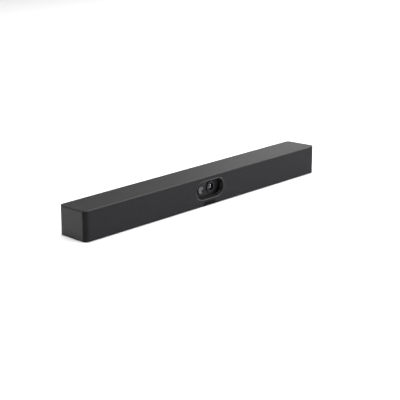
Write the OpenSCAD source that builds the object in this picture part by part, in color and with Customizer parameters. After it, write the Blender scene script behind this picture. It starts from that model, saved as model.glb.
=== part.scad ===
/* [Body] */
// Overall width of the bar
body_w = 500; // [480:5:560]
// Overall depth, front to back
body_d = 58; // [58:0.5:70]
// Height of the front face above the table
front_h = 47; // [47:0.5:52]
// How much the top falls towards the back
top_fall = 2.5; // [0.5:0.1:3]
// Plan radius of the four upright corners
corner_r = 7; // [5:0.5:9]
// Wall of the rear housing
wall = 2.2; // [2:0.1:2.6]
// Thickness of the top cover
top_t = 1.5; // [1.2:0.1:1.8]
// Rounding of the top cover's edge
top_edge_r = 0.6; // [0.3:0.1:0.9]
// Thickness of the bottom cover
bottom_t = 2; // [1.6:0.1:2.4]
// Height of the shadow gap under the top cover
reveal_h = 0.8; // [0.4:0.1:1]
// Depth of the shadow gap under the top cover
reveal_d = 1.2; // [0.8:0.1:1.4]
// Height that the feet stand proud of the bottom cover
foot_h = 1; // [0.6:0.1:1.6]

/* [Grille and front frame] */
// Sheet thickness of the front grille
grille_t = 0.8; // [0.6:0.1:1]
// Thickness of the front frame's plate
frame_t = 2.2; // [1.8:0.1:2.6]
// Depth of the side tongues of the front frame
tongue_d = 12; // [8:1:16]
// Thickness of the side tongues
tongue_t = 1.5; // [1:0.1:2]
// Width of the blank badge plate
badge_w = 25.3; // [20:0.1:32]
// Height of the blank badge plate
badge_h = 5.8; // [4:0.1:6.5]
// How far the badge plate stands proud of the grille
badge_proud = 0.2; // [0.1:0.1:0.6]

/* [Camera window] */
// Overall width of the window trim
window_w = 62.2; // [58:0.2:66]
// Overall height of the window trim
window_h = 30.6; // [28:0.2:31]
// Height of the window's centre above the table
window_z = 25.4; // [25.2:0.1:26]
// Visible width of the trim's lip
trim_lip = 1; // [0.7:0.1:1.3]
// How far the trim stands proud of the grille
trim_proud = 0.4; // [0.2:0.1:0.8]
// Depth from the front face to the end of the window tunnel
tunnel_depth = 6.8; // [6:0.1:7.4]
// How much the tunnel narrows on each side
tunnel_draft = 2; // [1:0.1:2.4]
// Distance between the two lens axes
lens_pitch = 20; // [19:0.1:22]
// Radius of the lens front rings
lens_ring_r = 8.8; // [8:0.1:9]
// Radius of the threaded lens bodies
lens_body_r = 6.7; // [6.2:0.1:7]
// Radius of the wide lens glass
wide_glass_r = 5.4; // [4.6:0.1:5.6]
// Radius of the second lens glass
tele_glass_r = 4.3; // [3.8:0.1:4.6]

/* [Privacy shutter] */
// Width of the shutter plate
shutter_w = 58; // [57.6:0.2:60]
// Height of the shutter plate
shutter_h = 30.8; // [30:0.1:31.2]
// Thickness of the shutter plate
shutter_t = 0.8; // [0.6:0.1:0.9]
// Module of the rack and the pinion
gear_module = 0.6; // [0.55:0.01:0.62]
// Number of teeth on the pinion
pinion_teeth = 12; // [11:1:12]
// Sideways play between the rack's and the pinion's teeth
backlash = 0.12; // [0.08:0.01:0.2]
// Radius of the shutter motor
motor_r = 4; // [3.4:0.1:4.2]

/* [Speakers and microphones] */
// Distance from the bar's end to the speaker box
speaker_box_inset = 31; // [24:1:60]
// Radius of the speaker's flange
speaker_r = 19; // [18:0.1:19.2]
// Travel of the speaker cone each way
cone_travel = 1.5; // [0.5:0.1:1.6]
// Microphones on each side of the window
mics_per_side = 4; // [2:1:5]
// Distance between neighbouring microphones
mic_pitch = 14; // [10:0.5:15]

/* [Back and underside] */
// Width of the port recess
recess_w = 152; // [148:1:156]
// Height of the port recess
recess_h = 24; // [22:0.5:25]
// Depth of the port recess
recess_d = 8; // [7:0.5:9]
// Distance from the port recess to each wall bracket hole
bracket_margin = 14; // [13:0.5:16]
// Radius of the tapped hole in a bracket insert
bracket_hole_r = 1.65; // [1.2:0.05:1.8]
// Radius of the tapped hole in the tripod insert
tripod_hole_r = 2.6; // [2.4:0.05:2.8]
// Depth of the tripod insert
tripod_depth = 6.8; // [5:0.1:7]
// Travel of the buttons
button_travel = 0.6; // [0.3:0.1:0.7]
// Smoothness of curves
curve_fn = 64; // [32:8:96]

/* [Hidden] */
$fn = curve_fn;

// General clearances
cross_l_share = 1.2;  // of a screw head's radius, the length of each arm's cut
cross_w_share = 0.25; // and its width
overrun = 1;      // how far a cut runs past the face that it opens
slip = 0.15;      // between two fixed pieces that drop into each other
run = 0.3;        // between a moving piece and its guide
thread_play = 0.05; // between a screw and its pilot hole, and a lens and its holder

// Planes of the body
front_y = -body_d / 2;
back_y = body_d / 2;
end_x = body_w / 2;
base_z = foot_h;
floor_z = base_z + bottom_t;
grille_end_y = front_y + corner_r;
frame_front_y = front_y + grille_t;
frame_back_y = frame_front_y + frame_t;
inner_back_y = back_y - wall;
top_tilt = atan(top_fall / body_d);
top_len = body_d / cos(top_tilt);
reach = 2 * body_w; // larger than anything in the part

// Camera window, in layers from the front
trim_t = 0.5;              // wall of the trim's body
trim_seat_share = 0.6;     // of the grille's thickness, how far the trim reaches into the front frame
trim_end_y = frame_front_y + trim_seat_share * grille_t;
trim_in_w = window_w - 2 * trim_lip;
trim_in_h = window_h - 2 * trim_lip;
sleeve_w = trim_in_w + 2 * trim_t;
sleeve_h = trim_in_h + 2 * trim_t;
cutout_w = sleeve_w + 2 * slip;
cutout_h = sleeve_h + 2 * slip;
tunnel_end_y = front_y + tunnel_depth;
tunnel_end_h = trim_in_h - 2 * tunnel_draft;
tunnel_span = trim_in_w - trim_in_h; // distance between the centres of the round ends
tunnel_wall = 0.8;
flange_w = 70;
flange_h = 36;
flange_t = 1.4;
badge_r = 0.6;
shutter_gap = 0.5;         // from the tunnel's end to the shutter
shutter_y = tunnel_end_y + shutter_gap;
shutter_back_y = shutter_y + shutter_t;
lens_gap = 0.4;            // from the shutter to the lens rings
lens_front_y = shutter_back_y + lens_gap;
lens_ring_t = 1.5;
camera_y = lens_front_y + lens_ring_t; // front face of the camera frame
camera_t = 1.6;
camera_back_y = camera_y + camera_t;
rail_t = 1.6;
lip_h = 1.5;
lip_t = 0.6;
rail_half_h = shutter_h / 2 + run;
camera_frame_margin = 10;
camera_left_x = -window_w / 2 - camera_frame_margin;

// Shutter drive
pitch_r = gear_module * pinion_teeth / 2;
tooth_pitch = PI * gear_module;
pinion_tip = gear_module;
rack_tip_share = 0.6;      // of the module, each
pinion_root_share = 1.1;
rack_root_share = 1.25;
rack_tip = rack_tip_share * gear_module;
pinion_root = pinion_root_share * gear_module;
rack_root = rack_root_share * gear_module;
rack_back = 1.75;          // solid bar above the rack's teeth
shutter_park = 1.7;        // how far the parked plate's edge is inside the window's end
shutter_open_x = window_w / 2 - shutter_park;
shutter_travel = shutter_w;
pinion_lead = 4.6;         // from the parked plate's edge to the pinion's axis
edge_tooth_share = 0.5;    // of a tooth, left plain at each end of the rack
rack_spare = 3.4;          // rack beyond the pinion's axis when the plate is closed
pinion_x = shutter_open_x + pinion_lead;
rack_tail = pinion_lead + rack_spare;
rack_top_z = window_z + shutter_h / 2;
rack_root_z = rack_top_z - rack_back;
rack_pitch_z = rack_root_z - rack_root;
pinion_z = rack_pitch_z - pitch_r;
pinion_shaft_r = 1;
shaft_hole_r = 1.2;
motor_bore_r = 1.07;
motor_l = 10;
motor_cup_t = 1;
motor_cup_l = 4;
pressure_angle = 20;
rack_end_room = 5.6;       // frame beyond the parked rack
camera_right_x = shutter_open_x + shutter_w + rack_tail + rack_end_room;

// Lenses
lens_body_l = 8.8;
lens_bore_r = 3.2;
lens_seat_l = 2;
lens_hood = 0.4;
ring_chamfer = 0.2;
glass_rise = 1.8;
tele_cone_r = 7.4;
tele_cone_l = 1.3;
tele_rise = 1.1;
holder_w = 17;
holder_l = 6;
sensor_w = 9;
sensor_h = 7;
sensor_t = 1.2;
camera_board_w = 52;
camera_board_h = 30;
camera_board_t = 1.4;
camera_standoff = 8.8;
camera_board_y = camera_back_y + camera_standoff;
camera_post_r = 2.2;
camera_post_inset = 3;
small_screw_r = 0.9;
small_head_r = 1.8;
small_head_h = 1.4;
small_bite = 5;

// Screws that hold the camera frame to the front frame
camera_screw_r = 1.2;
camera_head_r = 2.4;
camera_head_h = 1.6;
camera_boss_r = 3;
camera_screw_inset = 4;
camera_screw_drop = 12.4;
camera_screw_rise = 5.6;  // the right-hand upper screw stays below the rack
camera_screw_xz = [
  [camera_left_x + camera_screw_inset, window_z - camera_screw_drop],
  [camera_left_x + camera_screw_inset, window_z + camera_screw_drop],
  [camera_right_x - camera_screw_inset, window_z - camera_screw_drop],
  [camera_right_x - camera_screw_inset, window_z + camera_screw_rise]
];

// Microphones
mic_board_t = 1;
mic_board_h = 8;
mic_board_l = 58;
mic_board_x = 42;
mic_z = 23;
mic_gasket_t = 0.8;
mic_board_y = frame_back_y + mic_gasket_t;
mic_size = [3.6, 1, 2.8];
mic_hole_r = 0.7;

// Speakers
speaker_box_wall = 1.8;
speaker_box_z0 = floor_z;
speaker_box_play = 0.2;
speaker_box_z1 = front_h - top_fall - top_t - speaker_box_play;
speaker_box_depth = 6.5;
speaker_box_y0 = front_y + speaker_box_depth;
speaker_box_y1 = inner_back_y - run;
speaker_box_r = 3;
speaker_z = (speaker_box_z0 + speaker_box_z1) / 2;
speaker_flange_t = 1.5;
speaker_flange_y = speaker_box_y0 - speaker_flange_t;
speaker_opening_r = 17.2;
basket_r = 16.6;
basket_end_r = 13.2;
basket_l = 9.5;
basket_wall = 0.8;
basket_window_r = 4;
magnet_r = 13;
magnet_plate_t = 2.4;
magnet_l = 6;
magnet_back_t = 2;
pole_r = 5.2;
gap_r = 6.6;
magnet_hole_r = 7.4;
coil_r = 6.1;
coil_t = 0.4;
cone_r = 13.2;
cone_t = 0.5;
cone_depth = 7.6;
cap_rise = 2.4;
coil_l = 5.5;
roll_spare = 0.3;
roll_r = cone_travel + roll_spare;
surround_r = cone_r + run + roll_r;
roll_t = 0.4;
ear_offset = 15;
ear_r = 3;
speaker_screw_r = 1.1;
speaker_head_r = 2;
speaker_head_h = 1.4;
speaker_screw_l = 6;
speaker_boss_r = 2.6;
speaker_boss_l = 4.5;
gasket_in_r = 17.4;

// Long screws through the bottom cover into the top cover
post_r = 4.5;
post_hole_r = 1.7;
post_top_z = 30;
top_boss_r = 3.5;
case_screw_r = 1.25;
case_head_r = 2.8;
case_head_h = 2;
head_sink = 0.4;
case_bite = 8;

// Main board, upright behind the port recess
recess_z0 = 9.5;
recess_floor_y = back_y - recess_d;
recess_wall = 2;
recess_r = 3;
board_margin = 8;
board_w = recess_w + 2 * board_margin;
board_h = 32;
board_z0 = 10;
board_t = 1.6;
port_l = 13;
board_back_y = recess_floor_y - port_l;
board_front_y = board_back_y - board_t;
board_post_r = 3;
board_screw_inset = 4;
board_screw_x = board_w / 2 - board_screw_inset;
board_screw_z = [board_z0 + board_screw_inset, board_z0 + board_h - board_screw_inset];
board_screw_r = 1.2;
board_head_r = 2.4;
board_head_h = 1.6;
board_bite = 6;
chip_t = 1.2;
pad_t = 0.5;
sink_w = 60;
sink_h = 28;
sink_base_t = 1.6;
fin_l = 6.7;
fin_t = 1;
fin_count = 18;
processor_w = 18;
memory_w = 10;
memory_h = 14;
memory_x = 16.5;
memory_rise = 3;

// Places of the case posts
outer_post_inset = 12;
outer_post_edge = 11;
inner_post_x = camera_right_x + post_r + run;
outer_post_y = body_d / 2 - outer_post_edge;
inner_post_gap = 0.9;      // from the camera frame's back to the posts behind it
post_xy = [for (side = [-1, 1]) each [
  [side * (end_x - outer_post_inset), -outer_post_y], [side * (end_x - outer_post_inset), outer_post_y],
  [side * inner_post_x, camera_back_y + inner_post_gap + post_r],
  [side * inner_post_x, board_back_y + post_r]
]];

// Speaker boxes fill the space between the case posts
box_gap = 0.6;
speaker_box_x0 = inner_post_x + post_r + box_gap;
speaker_box_x1 = end_x - speaker_box_inset;
speaker_box_w = speaker_box_x1 - speaker_box_x0;
speaker_x = (speaker_box_x0 + speaker_box_x1) / 2;

// Ports: width and height of each face, in a row along the recess
port_z = 20;
port_play = 0.25;
port_margin = 7.5;
power_size = [9, 11];
power_bore_r = 3.15;
power_pin_r = 1;
power_depth = 9;
network_size = [16, 13.6];
network_hole = [11.8, 8.2];
network_latch = [6, 2.2];
network_depth = 11;
video_size = [15, 5.6];
shell_t = 0.4;
port_tongue = [11, 1];
video_depth = 9.5;
small_data_size = [9.2, 3.4];
small_tongue = [6.6, 0.7];
data_size = [13.2, 5.8];
data_tongue = [11, 1.8];
data_depth = 10;
audio_size = 7;
audio_bore_r = 1.8;
audio_z = 15;
row_widths = [power_size[0], network_size[0], video_size[0], video_size[0], small_data_size[0],
  data_size[0], data_size[0], audio_size];
row_count = len(row_widths);
function width_before(n) = n == 0 ? 0 : width_before(n - 1) + row_widths[n - 1];
port_gap = (recess_w - 2 * port_margin - width_before(row_count)) / (row_count - 1);
function row_x(n) = -recess_w / 2 + port_margin + width_before(n) + n * port_gap + row_widths[n] / 2;
power_x = row_x(0);
network_x = row_x(1);
video_x = [row_x(2), row_x(3)];
small_data_x = row_x(4);
data_x = [row_x(5), row_x(6)];
audio_x = row_x(7);

// Buttons in the port recess
power_button_x = audio_x;
power_button_z = 27.5;
button_r = 3.2;
button_proud = 0.6;
button_flange_r = 4.2;
button_flange_t = 1;
stem_r = 1.5;
switch_w = 6;
switch_t = 3.5;
switch_play = 0.1;
switch_gap = button_travel + switch_play;
reset_x = power_x + power_size[0];
reset_z = 31;
reset_r = 1.5;
reset_hole_r = 0.8;
guide_r = 2.6;
guide_l = 4;

// Vents, feet, inserts and slots
vent_w = 3;
vent_h = 4;
vent_r = 0.75;
vent_pitch = 6;
vent_count = 22;
vent_z = 38.6;
intake_w = 2;
intake_l = 11;
intake_pitch = 4;
intake_count = 15;
intake_x = 17;
intake_edge = 16;
intake_y = back_y - intake_edge;
foot_l = 34;
foot_d = 8;
foot_seat = 0.6;
foot_inset = 54;
foot_edge = 12;
foot_x = end_x - foot_inset;
foot_y = body_d / 2 - foot_edge;
tripod_boss_r = 7;
tripod_rib_l = 8;
tripod_rib_h = 4;
post_rib_h = 3;
rib_t = 1.2;
tripod_insert_r = 4;
bracket_boss_r = 5;
bracket_insert_r = 2.8;
bracket_insert_l = 8;
bracket_spacing = recess_w + 2 * bracket_margin;
bracket_z = 24;
bracket_backing = 2;
lock_slot = [7, 3];
lock_slot_r = 1;
lock_inset = 13;
lock_x = end_x - lock_inset;
antenna_size = [1, 30, 12];
antenna_gap = 1;           // behind the front frame's tongues
antenna_y = frame_back_y + tongue_d + antenna_gap + antenna_size[1] / 2;
antenna_z = 18;
ribbon_t = 0.3;
ribbon_w = 8;
ribbon_rise = 5;
ribbon_step = 1;           // how much higher the camera's ribbon ends than the microphones'
camera_ribbon_share = 0.8; // of the lens pitch, from the middle
mic_ribbon_share = 0.55;   // of the microphone pitch, from the board's end
lead_r = 0.7;
lead_z = 20;
lead_spacing = 2.4;
plug_size = [6, 3.4, 6];

// Colours, as the photograph shows them
shell_grey = [0.27, 0.27, 0.27];
grille_grey = [0.2, 0.2, 0.21];
gloss_black = [0.04, 0.04, 0.045];
matte_black = [0.08, 0.08, 0.085];
trim_grey = [0.33, 0.33, 0.34];
glass_blue = [0.1, 0.12, 0.16];
board_green = [0.05, 0.2, 0.12];
steel = [0.6, 0.6, 0.62];
brass = [0.72, 0.56, 0.28];
rubber = [0.09, 0.09, 0.09];
paper_black = [0.12, 0.12, 0.12];
aluminium = [0.7, 0.71, 0.73];
copper_film = [0.75, 0.45, 0.2];

// Flat outlines

// A rectangle with round corners, centred
module rounded_rect(w, h, r) {
  square([w - 2 * r, h], center = true);
  square([w, h - 2 * r], center = true);
  for (sx = [-1, 1], sy = [-1, 1])
    translate([sx * (w / 2 - r), sy * (h / 2 - r)]) circle(r = r);
}

// A slot with half round ends, lying along X, centred
module stadium(w, h) {
  square([w - h, h], center = true);
  for (side = [-1, 1]) translate([side * (w - h) / 2, 0]) circle(d = h);
}

// The bar's outline seen from above, drawn in by inset
module plan(inset) {
  rounded_rect(body_w - 2 * inset, body_d - 2 * inset, corner_r - inset);
}

// Solid helpers

// Extrudes an X-Z outline from y0 to y1
module along_y(y0, y1) {
  translate([0, y1, 0]) rotate([90, 0, 0]) linear_extrude(y1 - y0) children();
}

// A cylinder whose axis lies along Y
module rod_y(r, y0, y1) {
  along_y(y0, y1) circle(r = r);
}

// A box given by its two corners
module block(low, high) {
  translate(low) cube([high[0] - low[0], high[1] - low[1], high[2] - low[2]]);
}

// Turns a radius-depth outline about an axis along Y, depth running to the back
module turn_y() {
  rotate([-90, 0, 0]) rotate_extrude() children();
}

// Everything more than drop under the sloping top, measured square to it
module under_top(drop) {
  translate([0, front_y, front_h]) rotate([-top_tilt, 0, 0])
    translate([-reach / 2, -reach / 2, -reach - drop]) cube(reach);
}

// Upright extrusion of an outline between the underside and the sloping top
module upright(drop) {
  intersection() {
    translate([0, 0, base_z]) linear_extrude(front_h) children();
    under_top(drop);
  }
}

// The part of an outline in front of the grille's side edges
module front_zone() {
  intersection() {
    children();
    translate([-reach / 2, grille_end_y - reach]) square(reach);
  }
}

// A plate whose upper edge is rounded, with its front edge on the X axis and its top at zero
module soft_plate(w, d, r, t, edge) {
  profile = concat([[0, 0], [r, 0]],
    [for (a = [0 : 22.5 : 90]) [r - edge + edge * cos(a), t - edge + edge * sin(a)]], [[0, t]]);
  translate([0, d / 2, -t]) hull()
    for (sx = [-1, 1], sy = [-1, 1]) translate([sx * (w / 2 - r), sy * (d / 2 - r)])
      rotate_extrude() polygon(profile);
}

// A pan-head screw along Z, its head seat at zero and its shank going up
module screw(shank_r, shank_l, head_r, head_h) {
  cylinder(r = shank_r, h = shank_l);
  translate([0, 0, -head_h]) difference() {
    cylinder(r = head_r, h = head_h);
    for (turn = [0, 90]) rotate(turn)
      cube([head_r * cross_l_share, head_r * cross_w_share, head_h], center = true);
  }
}

// A screw that points along Y, forwards or backwards, its head seat at y
module screw_y(y, towards, shank_r, shank_l, head_r, head_h) {
  translate([0, y, 0]) rotate([-90 * towards, 0, 0]) screw(shank_r, shank_l, head_r, head_h);
}

// Housing

module port_cut(x, z, w, h) {
  translate([x, 0, z]) along_y(board_back_y, back_y)
    rounded_rect(w + 2 * port_play, h + 2 * port_play, 2 * port_play);
}

module recess_outline(grow) {
  translate([0, recess_z0 + recess_h / 2])
    rounded_rect(recess_w + 2 * grow, recess_h + 2 * grow, recess_r + grow);
}

module housing_walls() {
  difference() {
    upright(top_t) difference() {
      plan(0);
      plan(wall);
      translate([-reach / 2, grille_end_y - reach]) square(reach);
    }
    difference() {
      upright(0) offset_ring(reveal_d);
      under_top(top_t + reveal_h);
    }
  }
}

// The outer skin of the walls, depth thick, with room to cut
module offset_ring(depth) {
  difference() {
    square([body_w + 2 * overrun, body_d + 2 * overrun], center = true);
    plan(depth);
  }
}

module rear_housing() {
  color(shell_grey) difference() {
    union() {
      housing_walls();
      along_y(recess_floor_y - wall, inner_back_y + wall / 2) recess_outline(recess_wall);
      for (side = [-1, 1]) {
        translate([side * bracket_spacing / 2, 0, bracket_z])
          rod_y(bracket_boss_r, back_y - bracket_insert_l - bracket_backing, inner_back_y + wall / 2);
        for (z = board_screw_z) translate([side * board_screw_x, 0, z])
          rod_y(board_post_r, board_back_y, inner_back_y + wall / 2);
      }
      translate([reset_x, 0, reset_z])
        rod_y(guide_r, recess_floor_y - wall - guide_l, recess_floor_y - wall / 2);
    }
    along_y(recess_floor_y, back_y + overrun) recess_outline(0);
    for (side = [-1, 1]) {
      translate([side * bracket_spacing / 2, 0, bracket_z])
        rod_y(bracket_insert_r + thread_play, back_y - bracket_insert_l, back_y + overrun);
      for (z = board_screw_z) translate([side * board_screw_x, 0, z])
        rod_y(board_screw_r + thread_play, board_back_y - overrun, board_back_y + board_bite + overrun);
    }
    for (n = [0 : vent_count - 1])
      translate([(n - (vent_count - 1) / 2) * vent_pitch, 0, vent_z])
        along_y(inner_back_y - overrun, back_y + overrun)
          rounded_rect(vent_w, vent_h, vent_r);
    translate([lock_x, 0, bracket_z]) along_y(inner_back_y - overrun, back_y + overrun)
      rounded_rect(lock_slot[0], lock_slot[1], lock_slot_r);
    port_cut(power_x, port_z, power_size[0], power_size[1]);
    port_cut(network_x, port_z, network_size[0], network_size[1]);
    for (x = video_x) port_cut(x, port_z, video_size[0], video_size[1]);
    port_cut(small_data_x, port_z, small_data_size[0], small_data_size[1]);
    for (x = data_x) port_cut(x, port_z, data_size[0], data_size[1]);
    port_cut(audio_x, audio_z, audio_size, audio_size);
    translate([power_button_x, 0, power_button_z])
      rod_y(button_r + slip, board_back_y, back_y);
    translate([reset_x, 0, reset_z]) {
      rod_y(reset_hole_r, board_back_y, back_y);
      rod_y(reset_r + slip, board_back_y, recess_floor_y - wall);
    }
  }
}

module top_cover() {
  color(shell_grey) {
    translate([0, front_y, front_h]) rotate([-top_tilt, 0, 0])
      soft_plate(body_w, top_len, corner_r, top_t, top_edge_r);
    difference() {
      intersection() {
        for (p = post_xy) translate([p[0], p[1], post_top_z])
          cylinder(r = top_boss_r, h = front_h - post_top_z);
        under_top(top_t / 2);
      }
      for (p = post_xy) translate([p[0], p[1], post_top_z - overrun])
        cylinder(r = case_screw_r + thread_play, h = case_bite + 2 * overrun);
    }
  }
}

module bottom_outline() {
  front_edge = frame_back_y + slip;
  back_edge = inner_back_y - slip;
  translate([0, (front_edge + back_edge) / 2])
    rounded_rect(body_w - 2 * (wall + slip), back_edge - front_edge, corner_r - wall - slip);
}

// Gussets round the tripod boss, and a rib between each front post and the post behind it
module bottom_ribs() {
  for (turn = [0 : 90 : 270]) rotate(turn)
    translate([tripod_boss_r - rib_t, -rib_t / 2, floor_z - bottom_t / 2])
      cube([tripod_rib_l + rib_t, rib_t, tripod_rib_h + bottom_t / 2]);
  for (n = [0 : 2 : len(post_xy) - 1])
    block([post_xy[n][0] - rib_t / 2, post_xy[n][1], floor_z - bottom_t / 2],
          [post_xy[n][0] + rib_t / 2, post_xy[n + 1][1], floor_z + post_rib_h]);
}

module bottom_cover() {
  color(shell_grey) difference() {
    union() {
      translate([0, 0, base_z]) linear_extrude(bottom_t) bottom_outline();
      for (p = post_xy) translate([p[0], p[1], base_z]) cylinder(r = post_r, h = post_top_z - base_z);
      translate([0, 0, base_z]) cylinder(r = tripod_boss_r, h = tripod_depth + bottom_t / 2);
      bottom_ribs();
    }
    for (p = post_xy) translate([p[0], p[1], base_z - overrun]) {
      cylinder(r = post_hole_r, h = post_top_z);
      cylinder(r = case_head_r + run, h = overrun + case_head_h + head_sink);
    }
    translate([0, 0, base_z - overrun])
      cylinder(r = tripod_insert_r + thread_play, h = tripod_depth + overrun);
    for (sx = [-1, 1], sy = [-1, 1]) translate([sx * foot_x, sy * foot_y, base_z - overrun])
      linear_extrude(overrun + foot_seat) stadium(foot_l + 2 * slip, foot_d + 2 * slip);
    for (side = [-1, 1]) for (n = [0 : intake_count - 1])
      translate([side * (intake_x + n * intake_pitch), intake_y, base_z - overrun])
        linear_extrude(bottom_t + 2 * overrun) rotate(90) stadium(intake_l, intake_w);
  }
}

module front_frame() {
  color(matte_black) difference() {
    union() {
      upright(top_t) {
        front_zone() difference() {
          plan(grille_t);
          plan(wall);
        }
        intersection() {
          plan(grille_t);
          translate([-reach / 2, frame_back_y - reach]) square(reach);
        }
      }
      difference() {
        upright(top_t) intersection() {
          plan(wall / 2);
          for (side = [-1, 1])
            translate([side * (end_x - wall - slip - tongue_t / 2), frame_back_y + tongue_d / 2 - slip])
              square([tongue_t, tongue_d], center = true);
        }
        block([-reach / 2, frame_back_y, 0], [reach / 2, back_y, floor_z + slip]);
      }
      for (p = camera_screw_xz) translate([p[0], 0, p[1]])
        rod_y(camera_boss_r, frame_back_y - frame_t / 2, camera_y);
    }
    translate([0, 0, window_z]) along_y(front_y, frame_back_y + overrun) stadium(cutout_w, cutout_h);
    for (side = [-1, 1]) {
      translate([side * speaker_x, 0, speaker_z])
        rod_y(speaker_opening_r, front_y, frame_back_y + overrun);
      for (n = [0 : mics_per_side - 1]) translate([mic_x(side, n), 0, mic_z])
        rod_y(mic_hole_r, front_y, frame_back_y + overrun);
    }
    for (p = camera_screw_xz) translate([p[0], 0, p[1]])
      rod_y(camera_screw_r + thread_play, camera_y - small_bite - overrun, camera_y + overrun);
  }
}

module front_grille() {
  color(grille_grey) difference() {
    upright(top_t + reveal_h) front_zone() difference() {
      plan(0);
      plan(grille_t);
    }
    translate([0, 0, window_z]) along_y(front_y - overrun, frame_back_y) stadium(cutout_w, cutout_h);
    block([-badge_w / 2 - slip, front_y - overrun, base_z - overrun],
          [badge_w / 2 + slip, frame_back_y, base_z + badge_h + slip]);
  }
}

module badge_plate() {
  color(gloss_black) translate([0, 0, base_z + badge_h / 2])
    along_y(front_y - badge_proud, frame_front_y) rounded_rect(badge_w, badge_h, badge_r);
}

// Camera window

module window_trim() {
  color(trim_grey) translate([0, 0, window_z]) {
    along_y(front_y - trim_proud, front_y) difference() {
      stadium(window_w, window_h);
      stadium(trim_in_w, trim_in_h);
    }
    along_y(front_y, trim_end_y) difference() {
      stadium(sleeve_w, sleeve_h);
      stadium(trim_in_w, trim_in_h);
    }
  }
}

// A stadium-shaped funnel: two cones and the prism between them
module funnel(y0, y1, h0, h1, span) {
  for (side = [-1, 1]) translate([side * span / 2, y0, 0])
    rotate([-90, 0, 0]) cylinder(d1 = h0, d2 = h1, h = y1 - y0);
  translate([-span / 2, 0, 0]) rotate([90, 0, 90]) linear_extrude(span)
    polygon([[y0, -h0 / 2], [y1, -h1 / 2], [y1, h1 / 2], [y0, h0 / 2]]);
}

module window_bezel() {
  slope = 2 * tunnel_draft / (tunnel_end_y - trim_end_y);
  color(gloss_black) translate([0, 0, window_z]) difference() {
    union() {
      along_y(trim_end_y, frame_back_y) stadium(sleeve_w, sleeve_h);
      along_y(frame_back_y, frame_back_y + flange_t) stadium(flange_w, flange_h);
      funnel(frame_back_y, tunnel_end_y,
             tunnel_end_h + slope * (tunnel_end_y - frame_back_y) + 2 * tunnel_wall,
             tunnel_end_h + 2 * tunnel_wall, tunnel_span);
    }
    funnel(trim_end_y - overrun, tunnel_end_y + overrun,
           trim_in_h + slope * overrun, tunnel_end_h - slope * overrun, tunnel_span);
  }
}

module camera_frame() {
  top_z = window_z + rail_half_h;
  low_z = window_z - rail_half_h;
  lip_back_y = shutter_y - run;
  lip_front_y = lip_back_y - lip_t;
  left_stop_x = shutter_open_x - shutter_travel - run;
  right_stop_x = shutter_open_x + shutter_w + run;
  right_end_x = right_stop_x + rail_t;
  color(matte_black) difference() {
    union() {
      block([camera_left_x, camera_y, low_z - rail_t], [camera_right_x, camera_back_y, top_z + rail_t]);
      block([left_stop_x - rail_t, lip_front_y, top_z], [camera_right_x, camera_y, top_z + rail_t]);
      block([left_stop_x - rail_t, lip_front_y, low_z - rail_t], [right_end_x, camera_y, low_z]);
      block([left_stop_x - rail_t, lip_front_y, top_z - lip_h],
            [camera_right_x, lip_back_y, top_z + rail_t]);
      block([left_stop_x - rail_t, lip_front_y, low_z - rail_t],
            [right_end_x, lip_back_y, low_z + lip_h]);
      block([left_stop_x - rail_t, shutter_back_y + run, low_z - rail_t],
            [right_end_x, camera_y, low_z + lip_h]);
      block([left_stop_x - rail_t, lip_back_y, low_z], [left_stop_x, camera_y, top_z]);
      block([right_stop_x, lip_back_y, low_z], [right_end_x, camera_y, window_z]);
      for (p = camera_board_holes()) translate([p[0], 0, p[1]])
        rod_y(camera_post_r, camera_back_y - camera_t / 2, camera_board_y);
      translate([pinion_x, 0, pinion_z])
        rod_y(motor_r + slip + motor_cup_t, camera_back_y - camera_t / 2, camera_back_y + motor_cup_l);
    }
    for (side = [-1, 1]) translate([side * lens_pitch / 2, 0, window_z])
      rod_y(lens_body_r + slip, camera_y - overrun, camera_back_y + overrun);
    translate([pinion_x, 0, pinion_z]) {
      rod_y(shaft_hole_r, camera_y - overrun, camera_back_y + overrun);
      rod_y(motor_r + slip, camera_back_y, camera_back_y + motor_cup_l + overrun);
    }
    for (p = camera_board_holes()) translate([p[0], 0, p[1]])
      rod_y(small_screw_r + thread_play, camera_board_y - small_bite - overrun, camera_board_y + overrun);
    for (p = camera_screw_xz) translate([p[0], 0, p[1]])
      rod_y(camera_screw_r + slip, camera_y - overrun, camera_back_y + overrun);
  }
}

function camera_board_holes() = [for (sx = [-1, 1]) for (sz = [-1, 1])
  [sx * (camera_board_w / 2 - camera_post_inset), window_z + sz * (camera_board_h / 2 - camera_post_inset)]];

module lens_place(side) {
  translate([side * lens_pitch / 2, lens_front_y, window_z]) children();
}

module wide_lens_barrel() {
  seat = lens_ring_t + lens_seat_l;
  color(matte_black) lens_place(1) turn_y() polygon([
    [wide_glass_r + lens_hood, 0], [lens_ring_r - ring_chamfer, 0], [lens_ring_r, ring_chamfer],
    [lens_ring_r, lens_ring_t], [lens_body_r, lens_ring_t], [lens_body_r, lens_ring_t + lens_body_l],
    [lens_bore_r, lens_ring_t + lens_body_l], [lens_bore_r, seat],
    [wide_glass_r + thread_play, seat], [wide_glass_r + thread_play, lens_hood]
  ]);
}

// A glass with a domed front: a ball and a cylinder in common
module domed_glass(r, rise, edge) {
  ball_r = (r * r + rise * rise) / (2 * rise);
  intersection() {
    translate([0, ball_r, 0]) sphere(r = ball_r);
    rod_y(r, 0, rise + edge);
  }
}

module wide_lens_glass() {
  depth = lens_ring_t + lens_seat_l;
  color(glass_blue) lens_place(1)
    translate([0, thread_play, 0]) domed_glass(wide_glass_r, glass_rise, depth - glass_rise - thread_play);
}

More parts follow.
